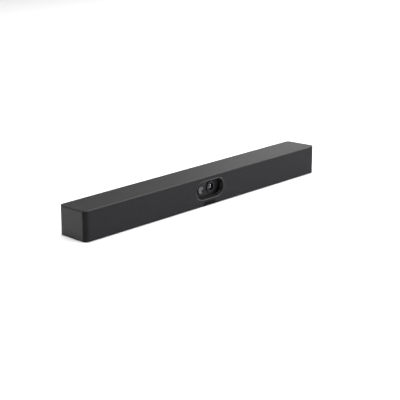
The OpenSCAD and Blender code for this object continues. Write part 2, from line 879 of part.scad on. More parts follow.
module tele_lens_barrel() {
  seat = lens_ring_t + lens_seat_l;
  color(matte_black) lens_place(-1) turn_y() polygon([
    [tele_cone_r, 0], [lens_ring_r - ring_chamfer, 0], [lens_ring_r, ring_chamfer],
    [lens_ring_r, lens_ring_t], [lens_body_r, lens_ring_t], [lens_body_r, lens_ring_t + lens_body_l],
    [lens_bore_r, lens_ring_t + lens_body_l], [lens_bore_r, seat],
    [tele_glass_r + thread_play, seat], [tele_glass_r + thread_play, tele_cone_l]
  ]);
}

module tele_lens_glass() {
  depth = lens_ring_t + lens_seat_l;
  color(glass_blue) lens_place(-1) translate([0, tele_cone_l - tele_rise, 0])
    domed_glass(tele_glass_r, tele_rise, depth - tele_cone_l);
}

module lens_holders() {
  color(matte_black) for (side = [-1, 1]) translate([side * lens_pitch / 2, 0, window_z])
    along_y(camera_board_y - holder_l, camera_board_y) difference() {
      square(holder_w, center = true);
      circle(r = lens_body_r + thread_play);
    }
}

module image_sensors() {
  color(gloss_black) for (side = [-1, 1]) translate([side * lens_pitch / 2, 0, window_z])
    along_y(camera_board_y - sensor_t, camera_board_y) square([sensor_w, sensor_h], center = true);
}

module camera_board() {
  color(board_green) difference() {
    translate([0, 0, window_z]) along_y(camera_board_y, camera_board_y + camera_board_t)
      rounded_rect(camera_board_w, camera_board_h, camera_post_inset / 2);
    for (p = camera_board_holes()) translate([p[0], 0, p[1]])
      rod_y(small_screw_r + slip, camera_board_y - overrun, camera_board_y + camera_board_t + overrun);
  }
}

module camera_board_screws() {
  color(steel) for (p = camera_board_holes()) translate([p[0], 0, p[1]])
    screw_y(camera_board_y + camera_board_t, -1, small_screw_r, camera_board_t + small_bite - run,
            small_head_r, small_head_h);
}

module camera_frame_screws() {
  color(steel) for (p = camera_screw_xz) translate([p[0], 0, p[1]])
    screw_y(camera_back_y, -1, camera_screw_r, camera_t + small_bite - run, camera_head_r, camera_head_h);
}

// Privacy shutter and its drive

// One rack tooth and the gap after it, as points from left to right, teeth pointing down
function rack_tooth(n) = let (
    half = tooth_pitch / 4 - backlash / 4,
    lean = tan(pressure_angle),
    x = n * tooth_pitch
  ) [
    [x - half - rack_root * lean, rack_root], [x - half + rack_tip * lean, -rack_tip],
    [x + half - rack_tip * lean, -rack_tip], [x + half + rack_root * lean, rack_root]
  ];

module privacy_shutter() {
  first = ceil((shutter_open_x - pinion_x) / tooth_pitch + edge_tooth_share);
  last = floor((shutter_open_x + shutter_w + rack_tail - pinion_x) / tooth_pitch - edge_tooth_share);
  right_x = shutter_open_x + shutter_w + rack_tail;
  color(gloss_black) {
    block([shutter_open_x, shutter_y, window_z - shutter_h / 2],
          [shutter_open_x + shutter_w, shutter_back_y, window_z + shutter_h / 2]);
    along_y(shutter_back_y, camera_y - run) translate([pinion_x, rack_pitch_z]) polygon(concat(
      [[right_x - pinion_x, rack_root + rack_back], [shutter_open_x - pinion_x, rack_root + rack_back],
       [shutter_open_x - pinion_x, rack_root]],
      [for (n = [first : last]) each rack_tooth(n)],
      [[right_x - pinion_x, rack_root]]
    ));
  }
}

// Angle, in degrees, that an involute has turned through at radius r
function involute_angle(r, base) = sqrt(pow(r / base, 2) - 1) * 180 / PI - acos(base / r);

module pinion_outline() {
  base = pitch_r * cos(pressure_angle);
  tip = pitch_r + pinion_tip;
  root = pitch_r - pinion_root;
  half_tooth = 90 / pinion_teeth - backlash / (4 * pitch_r) * 180 / PI;
  at_pitch = involute_angle(pitch_r, base);
  steps = 5;
  flank = [for (k = [0 : steps]) let (r = base + (tip - base) * k / steps)
    [r, half_tooth + at_pitch - involute_angle(r, base)]];
  tooth_turn = 360 / pinion_teeth;
  polygon([for (n = [0 : pinion_teeth - 1]) let (middle = 90 + tooth_turn / 2 + n * tooth_turn)
    each concat(
      [polar(root, middle - flank[0][1])],
      [for (k = [0 : steps]) polar(flank[k][0], middle - flank[k][1])],
      [for (k = [0 : steps]) polar(flank[steps - k][0], middle + flank[steps - k][1])],
      [polar(root, middle + flank[0][1])]
    )]);
}

function polar(r, a) = [r * cos(a), r * sin(a)];

module shutter_pinion() {
  color(brass) translate([pinion_x, 0, pinion_z]) {
    along_y(shutter_back_y + run, camera_y - run) pinion_outline();
    rod_y(pinion_shaft_r, camera_y - 2 * run, camera_back_y + motor_l - run * 4);
  }
}

module shutter_motor() {
  color(steel) translate([pinion_x, 0, pinion_z]) difference() {
    rod_y(motor_r, camera_back_y, camera_back_y + motor_l);
    rod_y(motor_bore_r, camera_back_y - overrun, camera_back_y + motor_l - run * 2);
  }
}

// A flat ribbon cable that runs down, back and up: y and z of its two ends and the level below them
module ribbon(x, y0, z0, y1, z1, low_z) {
  bend = 3 * ribbon_t;
  translate([x - ribbon_w / 2, 0, 0]) rotate([90, 0, 90]) linear_extrude(ribbon_w) {
    polygon([[y0, z0], [y0, low_z + bend], [y0 + bend, low_z], [y1 - bend, low_z], [y1, low_z + bend],
      [y1, z1], [y1 - ribbon_t, z1], [y1 - ribbon_t, low_z + bend + ribbon_t / 2],
      [y1 - bend - ribbon_t / 2, low_z + ribbon_t], [y0 + bend + ribbon_t / 2, low_z + ribbon_t],
      [y0 + ribbon_t, low_z + bend + ribbon_t / 2], [y0 + ribbon_t, z0]]);
  }
}

module camera_ribbon() {
  start_z = window_z - camera_board_h / 2;
  color(copper_film) ribbon(-lens_pitch * camera_ribbon_share, camera_board_y + camera_board_t,
    start_z + ribbon_rise,
    board_front_y, board_z0 + ribbon_rise + ribbon_step, base_z + tripod_depth + bottom_t / 2 + run);
}

// Microphones

function mic_x(side, n) =
  side * (mic_board_x + mic_board_l / 2 + (n - (mics_per_side - 1) / 2) * mic_pitch);

module microphone_board(side) {
  color(board_green) difference() {
    translate([side * (mic_board_x + mic_board_l / 2), 0, mic_z])
      along_y(mic_board_y, mic_board_y + mic_board_t) square([mic_board_l, mic_board_h], center = true);
    for (n = [0 : mics_per_side - 1]) translate([mic_x(side, n), 0, mic_z])
      rod_y(mic_hole_r, mic_board_y - overrun, mic_board_y + mic_board_t + overrun);
  }
}

module microphones() {
  color(steel) for (side = [-1, 1]) for (n = [0 : mics_per_side - 1])
    translate([mic_x(side, n), mic_board_y + mic_board_t + mic_size[1] / 2, mic_z])
      cube(mic_size, center = true);
}

module microphone_gaskets() {
  color(rubber) for (side = [-1, 1]) difference() {
    translate([side * (mic_board_x + mic_board_l / 2), 0, mic_z])
      along_y(frame_back_y, mic_board_y) square([mic_board_l, mic_board_h], center = true);
    for (n = [0 : mics_per_side - 1]) translate([mic_x(side, n), 0, mic_z])
      rod_y(mic_hole_r, frame_back_y - overrun, mic_board_y + overrun);
  }
}

module microphone_ribbons() {
  color(copper_film) for (side = [-1, 1])
    ribbon(side * (mic_board_x + mic_pitch * mic_ribbon_share), mic_board_y + mic_board_t,
           mic_z - mic_size[2],
           board_front_y, board_z0 + ribbon_rise, floor_z + bottom_t);
}

// Speakers

module speaker_place(side, y) {
  translate([side * speaker_x, y, speaker_z]) children();
}

module ear_places() {
  for (sx = [-1, 1], sz = [-1, 1]) translate([sx * ear_offset, 0, sz * ear_offset]) children();
}

module speaker_box(side) {
  depth = speaker_box_y1 - speaker_box_y0;
  box_h = speaker_box_z1 - speaker_box_z0;
  inner_r = speaker_box_r - speaker_box_wall;
  color(matte_black) speaker_place(side, speaker_box_y0) difference() {
    union() {
      difference() {
        along_y(0, depth) rounded_rect(speaker_box_w, box_h, speaker_box_r);
        along_y(speaker_box_wall, depth - speaker_box_wall)
          rounded_rect(speaker_box_w - 2 * speaker_box_wall, box_h - 2 * speaker_box_wall, inner_r);
      }
      ear_places() rod_y(speaker_boss_r, speaker_box_wall / 2, speaker_box_wall + speaker_boss_l);
    }
    rod_y(basket_r + slip, -overrun, speaker_box_wall + overrun);
    ear_places() rod_y(speaker_screw_r + thread_play, -overrun, speaker_screw_l);
  }
}

// Four-window frame that carries the magnet behind the flange
module speaker_basket(side) {
  end_y = speaker_flange_t + basket_l;
  color(steel) speaker_place(side, speaker_flange_y) difference() {
    union() {
      along_y(0, speaker_flange_t) {
        circle(r = speaker_r);
        for (sx = [-1, 1], sz = [-1, 1]) translate([sx * ear_offset, sz * ear_offset]) circle(r = ear_r);
      }
      rotate([-90, 0, 0]) translate([0, 0, speaker_flange_t])
        cylinder(r1 = basket_r, r2 = basket_end_r, h = basket_l);
    }
    rotate([-90, 0, 0]) translate([0, 0, speaker_flange_t])
      cylinder(r1 = basket_r - basket_wall, r2 = basket_end_r - basket_wall, h = basket_l - basket_wall);
    rod_y(basket_r - basket_wall, -overrun, speaker_flange_t);
    rod_y(gap_r + run, 0, end_y + overrun);
    for (turn = [0 : 90 : 270]) rotate([0, turn, 0])
      translate([0, speaker_flange_t + basket_l / 2, 0]) cylinder(r = basket_window_r, h = speaker_r);
    ear_places() rod_y(speaker_screw_r + slip, -overrun, speaker_flange_t + overrun);
  }
}

module speaker_magnet(side) {
  front = speaker_flange_t + basket_l;
  plate_end = front + magnet_plate_t;
  magnet_end = plate_end + magnet_l;
  back = magnet_end + magnet_back_t;
  color(steel) speaker_place(side, speaker_flange_y) turn_y() polygon([
    [0, front], [pole_r, front], [pole_r, magnet_end], [magnet_hole_r, magnet_end],
    [magnet_hole_r, plate_end], [gap_r, plate_end], [gap_r, front], [magnet_r, front],
    [magnet_r, back], [0, back]
  ]);
}

module speaker_cone(side) {
  inner_r = coil_r - coil_t;
  cap_y = cone_depth - cone_t;
  color(paper_black) speaker_place(side, speaker_flange_y) turn_y() polygon(concat(
    [[cone_r, 0], [cone_r, cone_t], [coil_r, cone_depth + cone_t], [coil_r, cone_depth + coil_l],
     [inner_r, cone_depth + coil_l], [inner_r, cone_depth]],
    [for (a = [0 : 15 : 90]) [inner_r * cos(a), cap_y + (cone_t - cap_rise) * sin(a)]],
    [for (a = [90 : -15 : 0]) [coil_r * cos(a), cap_y - cap_rise * sin(a)]]
  ));
}

module speaker_surround(side) {
  color(rubber) speaker_place(side, speaker_flange_y) turn_y() union() {
    difference() {
      translate([surround_r, 0]) circle(r = roll_r);
      translate([surround_r, 0]) circle(r = roll_r - roll_t);
      square([speaker_r, speaker_r]);
    }
    translate([surround_r + roll_r - roll_t, -roll_t]) square([speaker_r - surround_r - roll_r, roll_t]);
  }
}

module speaker_gaskets() {
  color(rubber) for (side = [-1, 1]) translate([side * speaker_x, 0, speaker_z])
    along_y(frame_back_y, speaker_flange_y - roll_t) difference() {
      circle(r = speaker_r);
      circle(r = gasket_in_r);
    }
}

module speaker_screws() {
  color(steel) for (side = [-1, 1]) speaker_place(side, 0) ear_places()
    screw_y(speaker_flange_y, 1, speaker_screw_r, speaker_flange_t + speaker_screw_l - run * 2,
            speaker_head_r, speaker_head_h);
}

module speaker_leads() {
  plug_x = (board_w - 3 * plug_size[0]) / 2;
  color(rubber) for (side = [-1, 1])
    translate([side * plug_x, board_front_y - plug_size[1] / 2, lead_z]) {
      cube(plug_size, center = true);
      for (up = [-1, 1]) translate([0, 0, up * lead_spacing / 2])
        rotate([0, side * 90, 0]) cylinder(r = lead_r, h = speaker_box_x0 - plug_x);
    }
}

// Main board and what stands on it

module main_board() {
  color(board_green) difference() {
    translate([0, 0, board_z0 + board_h / 2]) along_y(board_front_y, board_back_y)
      rounded_rect(board_w, board_h, board_t);
    for (side = [-1, 1], z = board_screw_z) translate([side * board_screw_x, 0, z])
      rod_y(board_screw_r + slip, board_front_y - overrun, board_back_y + overrun);
  }
}

module on_board(t0, t1) {
  translate([0, 0, board_z0 + board_h / 2]) along_y(board_front_y - t1, board_front_y - t0) {
    square(processor_w, center = true);
    for (side = [-1, 1]) translate([side * memory_x, memory_rise])
      square([memory_w, memory_h], center = true);
  }
}

module board_chips() {
  color(gloss_black) on_board(0, chip_t);
}

module thermal_pads() {
  color(rubber) on_board(chip_t, chip_t + pad_t);
}

module heat_sink() {
  base_y = board_front_y - chip_t - pad_t;
  fin_pitch = (sink_w - fin_t) / (fin_count - 1);
  color(aluminium) translate([0, 0, board_z0 + board_h - sink_h / 2]) {
    along_y(base_y - sink_base_t, base_y) square([sink_w, sink_h], center = true);
    for (n = [0 : fin_count - 1]) translate([-sink_w / 2 + fin_t / 2 + n * fin_pitch, 0, 0])
      along_y(base_y - sink_base_t - fin_l, base_y - sink_base_t) square([fin_t, sink_h], center = true);
  }
}

module board_screws() {
  color(steel) for (side = [-1, 1], z = board_screw_z) translate([side * board_screw_x, 0, z])
    screw_y(board_front_y, 1, board_screw_r, board_t + board_bite, board_head_r, board_head_h);
}

// Ports, each flush with the recess floor

module port_place(x, z) {
  translate([x, 0, z]) children();
}

module power_jack() {
  color(gloss_black) port_place(power_x, port_z) {
    difference() {
      along_y(board_back_y, recess_floor_y) square(power_size, center = true);
      rod_y(power_bore_r, recess_floor_y - power_depth, recess_floor_y + overrun);
    }
    rod_y(power_pin_r, recess_floor_y - power_depth, recess_floor_y - overrun);
  }
}

module network_port() {
  color(steel) port_place(network_x, port_z) difference() {
    along_y(board_back_y, recess_floor_y) square(network_size, center = true);
    along_y(recess_floor_y - network_depth, recess_floor_y + overrun) {
      square(network_hole, center = true);
      translate([0, -(network_hole[1] + network_latch[1]) / 2]) square(network_latch, center = true);
    }
  }
}

// A metal shell with a cut-cornered mouth and a tongue inside
module shell_port(size, tongue, depth, corner) {
  difference() {
    along_y(board_back_y, recess_floor_y) shell_outline(size, corner, 0);
    along_y(recess_floor_y - depth, recess_floor_y + overrun) shell_outline(size, corner, shell_t);
  }
  along_y(recess_floor_y - depth, recess_floor_y - overrun) square(tongue, center = true);
}

// Rectangle whose two lower corners are cut off, drawn in by inset
module shell_outline(size, corner, inset) {
  w = size[0] / 2 - inset;
  h = size[1] / 2 - inset;
  polygon([[-w, h], [-w, -h + corner], [-w + corner, -h], [w - corner, -h], [w, -h + corner], [w, h]]);
}

module video_ports() {
  color(steel) for (x = video_x) port_place(x, port_z)
    shell_port(video_size, port_tongue, video_depth, video_size[1] / 3);
}

module data_ports() {
  color(steel) for (x = data_x) port_place(x, port_z)
    shell_port(data_size, data_tongue, data_depth, shell_t);
}

module small_data_port() {
  color(steel) port_place(small_data_x, port_z) {
    difference() {
      along_y(board_back_y, recess_floor_y) stadium(small_data_size[0], small_data_size[1]);
      along_y(recess_floor_y - video_depth, recess_floor_y + overrun)
        stadium(small_data_size[0] - 2 * shell_t, small_data_size[1] - 2 * shell_t);
    }
    along_y(recess_floor_y - video_depth, recess_floor_y - overrun) square(small_tongue, center = true);
  }
}

module audio_jack() {
  color(gloss_black) port_place(audio_x, audio_z) difference() {
    along_y(board_back_y, recess_floor_y) square(audio_size, center = true);
    rod_y(audio_bore_r, recess_floor_y - video_depth, recess_floor_y + overrun);
  }
}

// Buttons

module button_switches() {
  color(gloss_black) for (p = [[power_button_x, power_button_z], [reset_x, reset_z]])
    translate([p[0], 0, p[1]]) along_y(board_back_y, board_back_y + switch_t)
      square(switch_w, center = true);
}

module power_button() {
  inner_y = recess_floor_y - wall;
  color(shell_grey) translate([power_button_x, 0, power_button_z]) {
    rod_y(button_r, inner_y - run, recess_floor_y + button_proud);
    rod_y(button_flange_r, inner_y - run - button_flange_t, inner_y - run);
    rod_y(stem_r, board_back_y + switch_t + switch_gap, inner_y - run);
  }
}

module reset_button() {
  color(gloss_black) translate([reset_x, 0, reset_z])
    rod_y(reset_r, board_back_y + switch_t + switch_gap, recess_floor_y - wall - run);
}

module wireless_antennas() {
  color(board_green) for (side = [-1, 1])
    translate([side * (end_x - wall - antenna_size[0] / 2), antenna_y, antenna_z])
      cube(antenna_size, center = true);
}

// Inserts, feet and case screws

module tripod_insert() {
  color(brass) translate([0, 0, base_z]) difference() {
    cylinder(r = tripod_insert_r, h = tripod_depth);
    translate([0, 0, -overrun]) cylinder(r = tripod_hole_r, h = tripod_depth + 2 * overrun);
  }
}

module bracket_inserts() {
  color(brass) for (side = [-1, 1]) translate([side * bracket_spacing / 2, 0, bracket_z]) difference() {
    rod_y(bracket_insert_r, back_y - bracket_insert_l, back_y);
    rod_y(bracket_hole_r, back_y - bracket_insert_l - overrun, back_y + overrun);
  }
}

module rubber_feet() {
  color(rubber) for (sx = [-1, 1], sy = [-1, 1]) translate([sx * foot_x, sy * foot_y, 0])
    linear_extrude(foot_h + foot_seat) stadium(foot_l, foot_d);
}

module case_screws() {
  seat_z = base_z + case_head_h + head_sink;
  color(steel) for (p = post_xy) translate([p[0], p[1], seat_z])
    screw(case_screw_r, post_top_z + case_bite - seat_z, case_head_r, case_head_h);
}

rear_housing();
top_cover();
bottom_cover();
front_frame();
front_grille();
badge_plate();
window_trim();
window_bezel();
camera_frame();
wide_lens_barrel();
wide_lens_glass();
tele_lens_barrel();
tele_lens_glass();
lens_holders();
image_sensors();
camera_board();
camera_board_screws();
camera_frame_screws();
privacy_shutter();
shutter_pinion();
shutter_motor();
camera_ribbon();
microphone_board(-1);  // left_microphone_board
microphone_board(1);  // right_microphone_board
microphones();
microphone_gaskets();
microphone_ribbons();
speaker_box(-1);  // left_speaker_box
speaker_box(1);  // right_speaker_box
speaker_basket(-1);  // left_speaker_basket
speaker_basket(1);  // right_speaker_basket
speaker_magnet(-1);  // left_speaker_magnet
speaker_magnet(1);  // right_speaker_magnet
speaker_cone(-1);  // left_speaker_cone
speaker_cone(1);  // right_speaker_cone
speaker_surround(-1);  // left_speaker_surround
speaker_surround(1);  // right_speaker_surround
speaker_gaskets();
speaker_screws();
speaker_leads();
main_board();
board_chips();
thermal_pads();
heat_sink();
board_screws();
power_jack();
network_port();
video_ports();
data_ports();
small_data_port();
audio_jack();
button_switches();
power_button();
reset_button();
wireless_antennas();
tripod_insert();
bracket_inserts();
rubber_feet();
case_screws();
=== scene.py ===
"""Looks of a conference camera bar: a finish for every solid, and new surfaces where they show."""

import math

import bmesh
import bpy
import numpy as np
from bpy.props import (
    FloatProperty,
    FloatVectorProperty,
    IntProperty,
    PointerProperty,
    StringProperty,
)
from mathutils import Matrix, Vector


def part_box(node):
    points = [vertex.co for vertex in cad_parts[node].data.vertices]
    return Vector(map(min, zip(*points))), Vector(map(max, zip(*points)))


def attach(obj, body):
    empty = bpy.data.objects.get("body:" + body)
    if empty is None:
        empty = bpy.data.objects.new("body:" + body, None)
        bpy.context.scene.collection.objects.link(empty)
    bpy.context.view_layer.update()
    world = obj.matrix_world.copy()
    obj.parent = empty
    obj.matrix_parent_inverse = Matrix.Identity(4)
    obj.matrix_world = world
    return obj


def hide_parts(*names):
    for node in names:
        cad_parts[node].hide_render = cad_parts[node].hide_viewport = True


bl_info = {
    "name": "Conference Camera Bar",
    "version": (1, 0, 0),
    "blender": (4, 5, 0),
    "location": "View3D > Sidebar > Camera Bar",
    "description": "Surfaces, finishes and studio of a conference camera bar",
    "category": "Object",
}

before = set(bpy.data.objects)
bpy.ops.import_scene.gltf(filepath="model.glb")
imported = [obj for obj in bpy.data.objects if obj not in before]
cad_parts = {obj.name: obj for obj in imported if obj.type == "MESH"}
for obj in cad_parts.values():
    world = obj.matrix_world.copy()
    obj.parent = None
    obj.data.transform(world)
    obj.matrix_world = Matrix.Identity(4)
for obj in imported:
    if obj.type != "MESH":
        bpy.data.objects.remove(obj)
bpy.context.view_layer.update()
MM = 0.001


def corners(node):
    """Low and high corner of a solid of the frame, in metres."""
    low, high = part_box(node)
    return np.array(low), np.array(high)


def middle(node):
    """Middle of a solid of the frame, in metres."""
    return sum(corners(node)) / 2


# Places read from the frame
FRONT_Y = corners("front_grille")[0][1]
FRAME_BACK_Y = corners("microphone_gaskets")[0][1]
WINDOW_Z = middle("window_trim")[2]
PORT_FACE_Y = corners("video_ports")[1][1]

# Gap between turned pieces that fit into each other
FIT = 0.05 * MM
# Depth of a V thread, as a share of its pitch
THREAD_DEPTH = 0.54

# Depth of a lens's hood, radius of the hood's mouth, rise of the front glass from its rim to its apex,
# and depth of that apex
LENSES = {"wide": np.array([0.4, 5.8, 2.8, 0.05]) * MM, "tele": np.array([1.3, 7.4, 0.5, 0.8]) * MM}
# Groove round a barrel's face, and the cone's step to that face
GROOVE, MOUTH_STEP = 0.22 * MM, 0.02 * MM
# A barrel's rim, as distance in from its edge and depth: a groove, a narrow flat and a softened edge
RIM = np.array([(3, 0), (2.6, 1), (1.8, 1), (1.4, 0), (0.9, 0), (0.3, 0.3), (0, 0.9)]) * GROOVE
# Hollow at the back of a front glass: its radius as a share of the glass's, its depth as a share of
# the dome's rise
HOLLOW_WIDTH, HOLLOW_DEPTH = 0.82, 0.35
# Inner element: radius of its ball, and how far its apex and its flat back lie behind the seat
INNER_BALL, INNER_APEX, INNER_BACK = 5 * MM, 0.6 * MM, 2.6 * MM
# Stop: radius of its hole, and depths of its two faces
STOP_HOLE, STOP_FRONT, STOP_BACK = 1.3 * MM, 6.6 * MM, 6.8 * MM

# Width, height and depth of each socket's tongue, its contacts, and their pitch and width
TONGUES = {
    "video_ports": (11.0 * MM, 1.0 * MM, 9.5 * MM, 10, 1.0 * MM, 0.45 * MM),
    "data_ports": (11.0 * MM, 1.8 * MM, 10.0 * MM, 4, 2.4 * MM, 1.1 * MM),
    "small_data_port": (6.6 * MM, 0.7 * MM, 9.5 * MM, 12, 0.5 * MM, 0.25 * MM),
}
# How far a tongue's skin stands out from the solid's own, and how far its front lies behind the face
TONGUE_SKIN, TONGUE_FRONT = 0.04 * MM, 0.95 * MM
# A contact strip's thickness, how far it is let in, and how far it ends from the tongue's root and front
STRIP, STRIP_IN, STRIP_ROOT, STRIP_FRONT = 0.08 * MM, 0.02 * MM, 0.5 * MM, 0.6 * MM
# Root, centre of the bend and tip of a network contact, from the middle of the socket's face along y and z
NETWORK_ROOT, NETWORK_BEND, NETWORK_TIP = np.array([(-10.8, 3.6), (-3.2, 3.1), (-8.6, -0.6)]) * MM
# Radius of that bend, and the contacts' pitch, width and thickness
BEND_R, NETWORK_PITCH, NETWORK_STRIP = 0.5 * MM, 1.02 * MM, (0.5 * MM, 0.25 * MM)
# Liner of the network socket: half its width and height, depths of its end and mouth, half the
# latch's slot, its wall, and how far one wall stays clear of the next one's outside
LINER_W, LINER_H, LINER_END, LINER_MOUTH = 5.89 * MM, 4.09 * MM, 10.98 * MM, 0.5 * MM
LATCH, LINER_WALL, LAP = 3.0 * MM, 0.1 * MM, 0.01 * MM
# Inner and outer radius of the ring round each round socket
MOUTHS = {"power_jack": (3.15 * MM, 4.0 * MM), "audio_jack": (1.8 * MM, 2.8 * MM)}
# Sleeve behind a ring: its length and wall. The ring: how proud it stands, how far it is let in, and
# its two chamfers
SLEEVE, SLEEVE_WALL, PROUD, LET_IN, INNER_EDGE, OUTER_EDGE = np.array([1.2, 0.05, 0.12, 0.02, 0.1, 0.15]) * MM

# Power button: radii of its cap and stem, how far its flange lies behind the sockets' face, the
# flange's thickness, and the rounding of the cap's edge
CAP_R, STEM_R, FLANGE_IN, FLANGE, CAP_EDGE = np.array([3.2, 1.5, 2.5, 1.0, 0.35]) * MM
# Dish in its face: its radius, the radius of its ball, and its depth
DISH_R, DISH_BALL, DISH = 2.587 * MM, 17.3 * MM, 0.3 * MM
# A foot's length and width, the width of its rim, and the height and slope of the field inside the rim
FOOT, FOOT_RIM, FOOT_FIELD = (34 * MM, 8 * MM), 0.9 * MM, 0.15 * MM


# Shapes: outlines and profiles, and surfaces, each as an array of points and a list of faces


def quads(rows, cols, closed_rows=False, closed_cols=False):
    """Faces of a rows by cols grid of points; a closed direction joins its last line to its first."""
    r = np.arange(rows if closed_rows else rows - 1)[:, None]
    c = np.arange(cols if closed_cols else cols - 1)[None, :]
    r2, c2 = (r + 1) % rows, (c + 1) % cols
    around = [r * cols + c, r * cols + c2, r2 * cols + c2, r2 * cols + c]
    return np.stack(np.broadcast_arrays(*around), -1).reshape(-1, 4).tolist()


def arc(centre, radius, start, end, steps):
    """Points of a circle's arc in two dimensions, angles in degrees."""
    a = np.radians(np.linspace(start, end, steps))
    return np.stack([centre[0] + radius * np.cos(a), centre[1] + radius * np.sin(a)], -1)


def ball_under(radius, rise):
    """Radius of the ball whose cap is this wide and this high: (radius^2 + rise^2) / (2 rise)."""
    return (radius**2 + rise**2) / (2 * rise)


def dome(radius, ball, apex, steps):
    """Half profile of a ball's cap, as radius and depth, from its apex on the axis out to its rim."""
    slope = math.degrees(math.asin(radius / ball))
    return arc((0, apex + ball), ball, -90, -90 + slope, steps)


def spread(count, pitch):
    """Places of like things a pitch apart, evenly on both sides of 0."""
    return (np.arange(count) - (count - 1) / 2) * pitch


def stadium(width, height, arc_steps=40, straight_steps=8):
    """Slot outline, two half circles joined by straights; returns points and outward normals."""
    r, half = height / 2, (width - height) / 2
    turn = np.linspace(-np.pi / 2, np.pi / 2, arc_steps, endpoint=False)
    run = np.linspace(half, -half, straight_steps, endpoint=False)
    right = np.stack([half + r * np.cos(turn), r * np.sin(turn)], -1)
    top = np.stack([run, np.full_like(run, r)], -1)
    n_right = np.stack([np.cos(turn), np.sin(turn)], -1)
    n_top = np.stack([np.zeros_like(run), np.ones_like(run)], -1)
    points = np.concatenate([right, top, -right, -top])
    return points, np.concatenate([n_right, n_top, -n_right, -n_top])


def round_rectangle(width, height, radius, arc_steps=10):
    """Rectangle with quarter-circle corners; returns points, counter-clockwise, and outward normals."""
    points, normals = [], []
    turn = np.linspace(0, np.pi / 2, arc_steps)
    for quarter, (sx, sy) in enumerate([(1, 1), (-1, 1), (-1, -1), (1, -1)]):
        n = np.stack([np.cos(turn + quarter * np.pi / 2), np.sin(turn + quarter * np.pi / 2)], -1)
        points.append(np.array([sx * (width / 2 - radius), sy * (height / 2 - radius)]) + radius * n)
        normals.append(n)
    return np.concatenate(points), np.concatenate(normals)


def carried(outline, profile, place, closed=True):
    """Carries a profile round an outline: outline + normal * p0, at depth p1. An open one is capped."""
    path, normals = outline
    flat = path[:, None, :] + normals[:, None, :] * profile[None, :, :1]
    depth = np.broadcast_to(profile[None, :, 1], flat.shape[:2])
    rows, cols = len(path), len(profile)
    faces = quads(rows, cols, closed_rows=True, closed_cols=closed)
    if not closed:
        faces += [(np.arange(rows) * cols).tolist(), (np.arange(rows) * cols + cols - 1).tolist()]
    return place(flat[..., 0], flat[..., 1], depth).reshape(-1, 3), faces


def facing_front(centre):
    """Stands an outline up: across is x, up is z, and depth runs along y."""
    x, y, z = centre
    return lambda across, up, depth: np.stack([x + across, y + depth, z + up], -1)


def lying_flat(centre):
    """Lays an outline down: across is x, along is y, and depth runs along z."""
    x, y, z = centre
    return lambda across, along, depth: np.stack([x + across, y + along, z + depth], -1)


def turned(profile, centre, steps=96):
    """Turns a closed radius-depth profile about a y axis: x = r cos a, z = r sin a, y = depth."""
    a = np.linspace(0, 2 * np.pi, steps, endpoint=False)[:, None]
    r, depth = profile[None, :, 0], profile[None, :, 1]
    x, y, z = centre
    points = np.stack([x + r * np.cos(a), y + depth + 0 * a, z + r * np.sin(a)], -1)
    return points.reshape(-1, 3), quads(steps, len(profile), closed_rows=True, closed_cols=True)


def threaded_tube(outer_r, bore_r, pitch, length, chamfer, place, steps=64, per_pitch=8):
    """Tube with a V thread: r(a, h) = bore_r + THREAD_DEPTH pitch |2 frac(h / pitch - a / 2 pi) - 1|."""
    a = np.linspace(0, 2 * np.pi, steps, endpoint=False)[:, None]
    h = np.linspace(chamfer, length - chamfer, int(length / pitch * per_pitch))[None, :] + 0 * a
    bore = bore_r + THREAD_DEPTH * pitch * np.abs(2 * ((h / pitch - a / (2 * np.pi)) % 1) - 1)
    one = np.ones_like(a)
    outer, mouth = outer_r * one, (bore_r + chamfer) * one
    r = np.concatenate([outer, mouth, bore, mouth, outer], 1)
    depth = np.concatenate([0 * one, 0 * one, h, length * one, length * one], 1)
    points = place(r * np.cos(a), r * np.sin(a), depth)
    return points.reshape(-1, 3), quads(*r.shape, closed_rows=True, closed_cols=True)


def block(low, high):
    """Straight block between two corners."""
    pick = np.array([[x, y, z] for x in (0, 1) for y in (0, 1) for z in (0, 1)])
    points = np.array(low) + pick * (np.array(high) - np.array(low))
    return points, [[0, 1, 3, 2], [4, 6, 7, 5], [0, 4, 5, 1], [2, 3, 7, 6], [0, 2, 6, 4], [1, 5, 7, 3]]


def spring(x, width, thickness, path):
    """Flat spring contact: a rectangle of width by thickness carried along a y-z path at x."""
    along = np.gradient(path, axis=0)
    side = np.stack([-along[:, 1], along[:, 0]], -1) / np.linalg.norm(along, axis=1)[:, None]
    ring = [(-1, -1), (1, -1), (1, 1), (-1, 1)]
    sides = [np.insert(path + side * sz * thickness / 2, 0, x + sx * width / 2, axis=1) for sx, sz in ring]
    first = np.arange(len(ring))
    last = first + len(ring) * (len(path) - 1)
    faces = quads(len(path), len(ring), closed_cols=True) + [first.tolist(), last.tolist()]
    return np.stack(sides, 1).reshape(-1, 3), faces


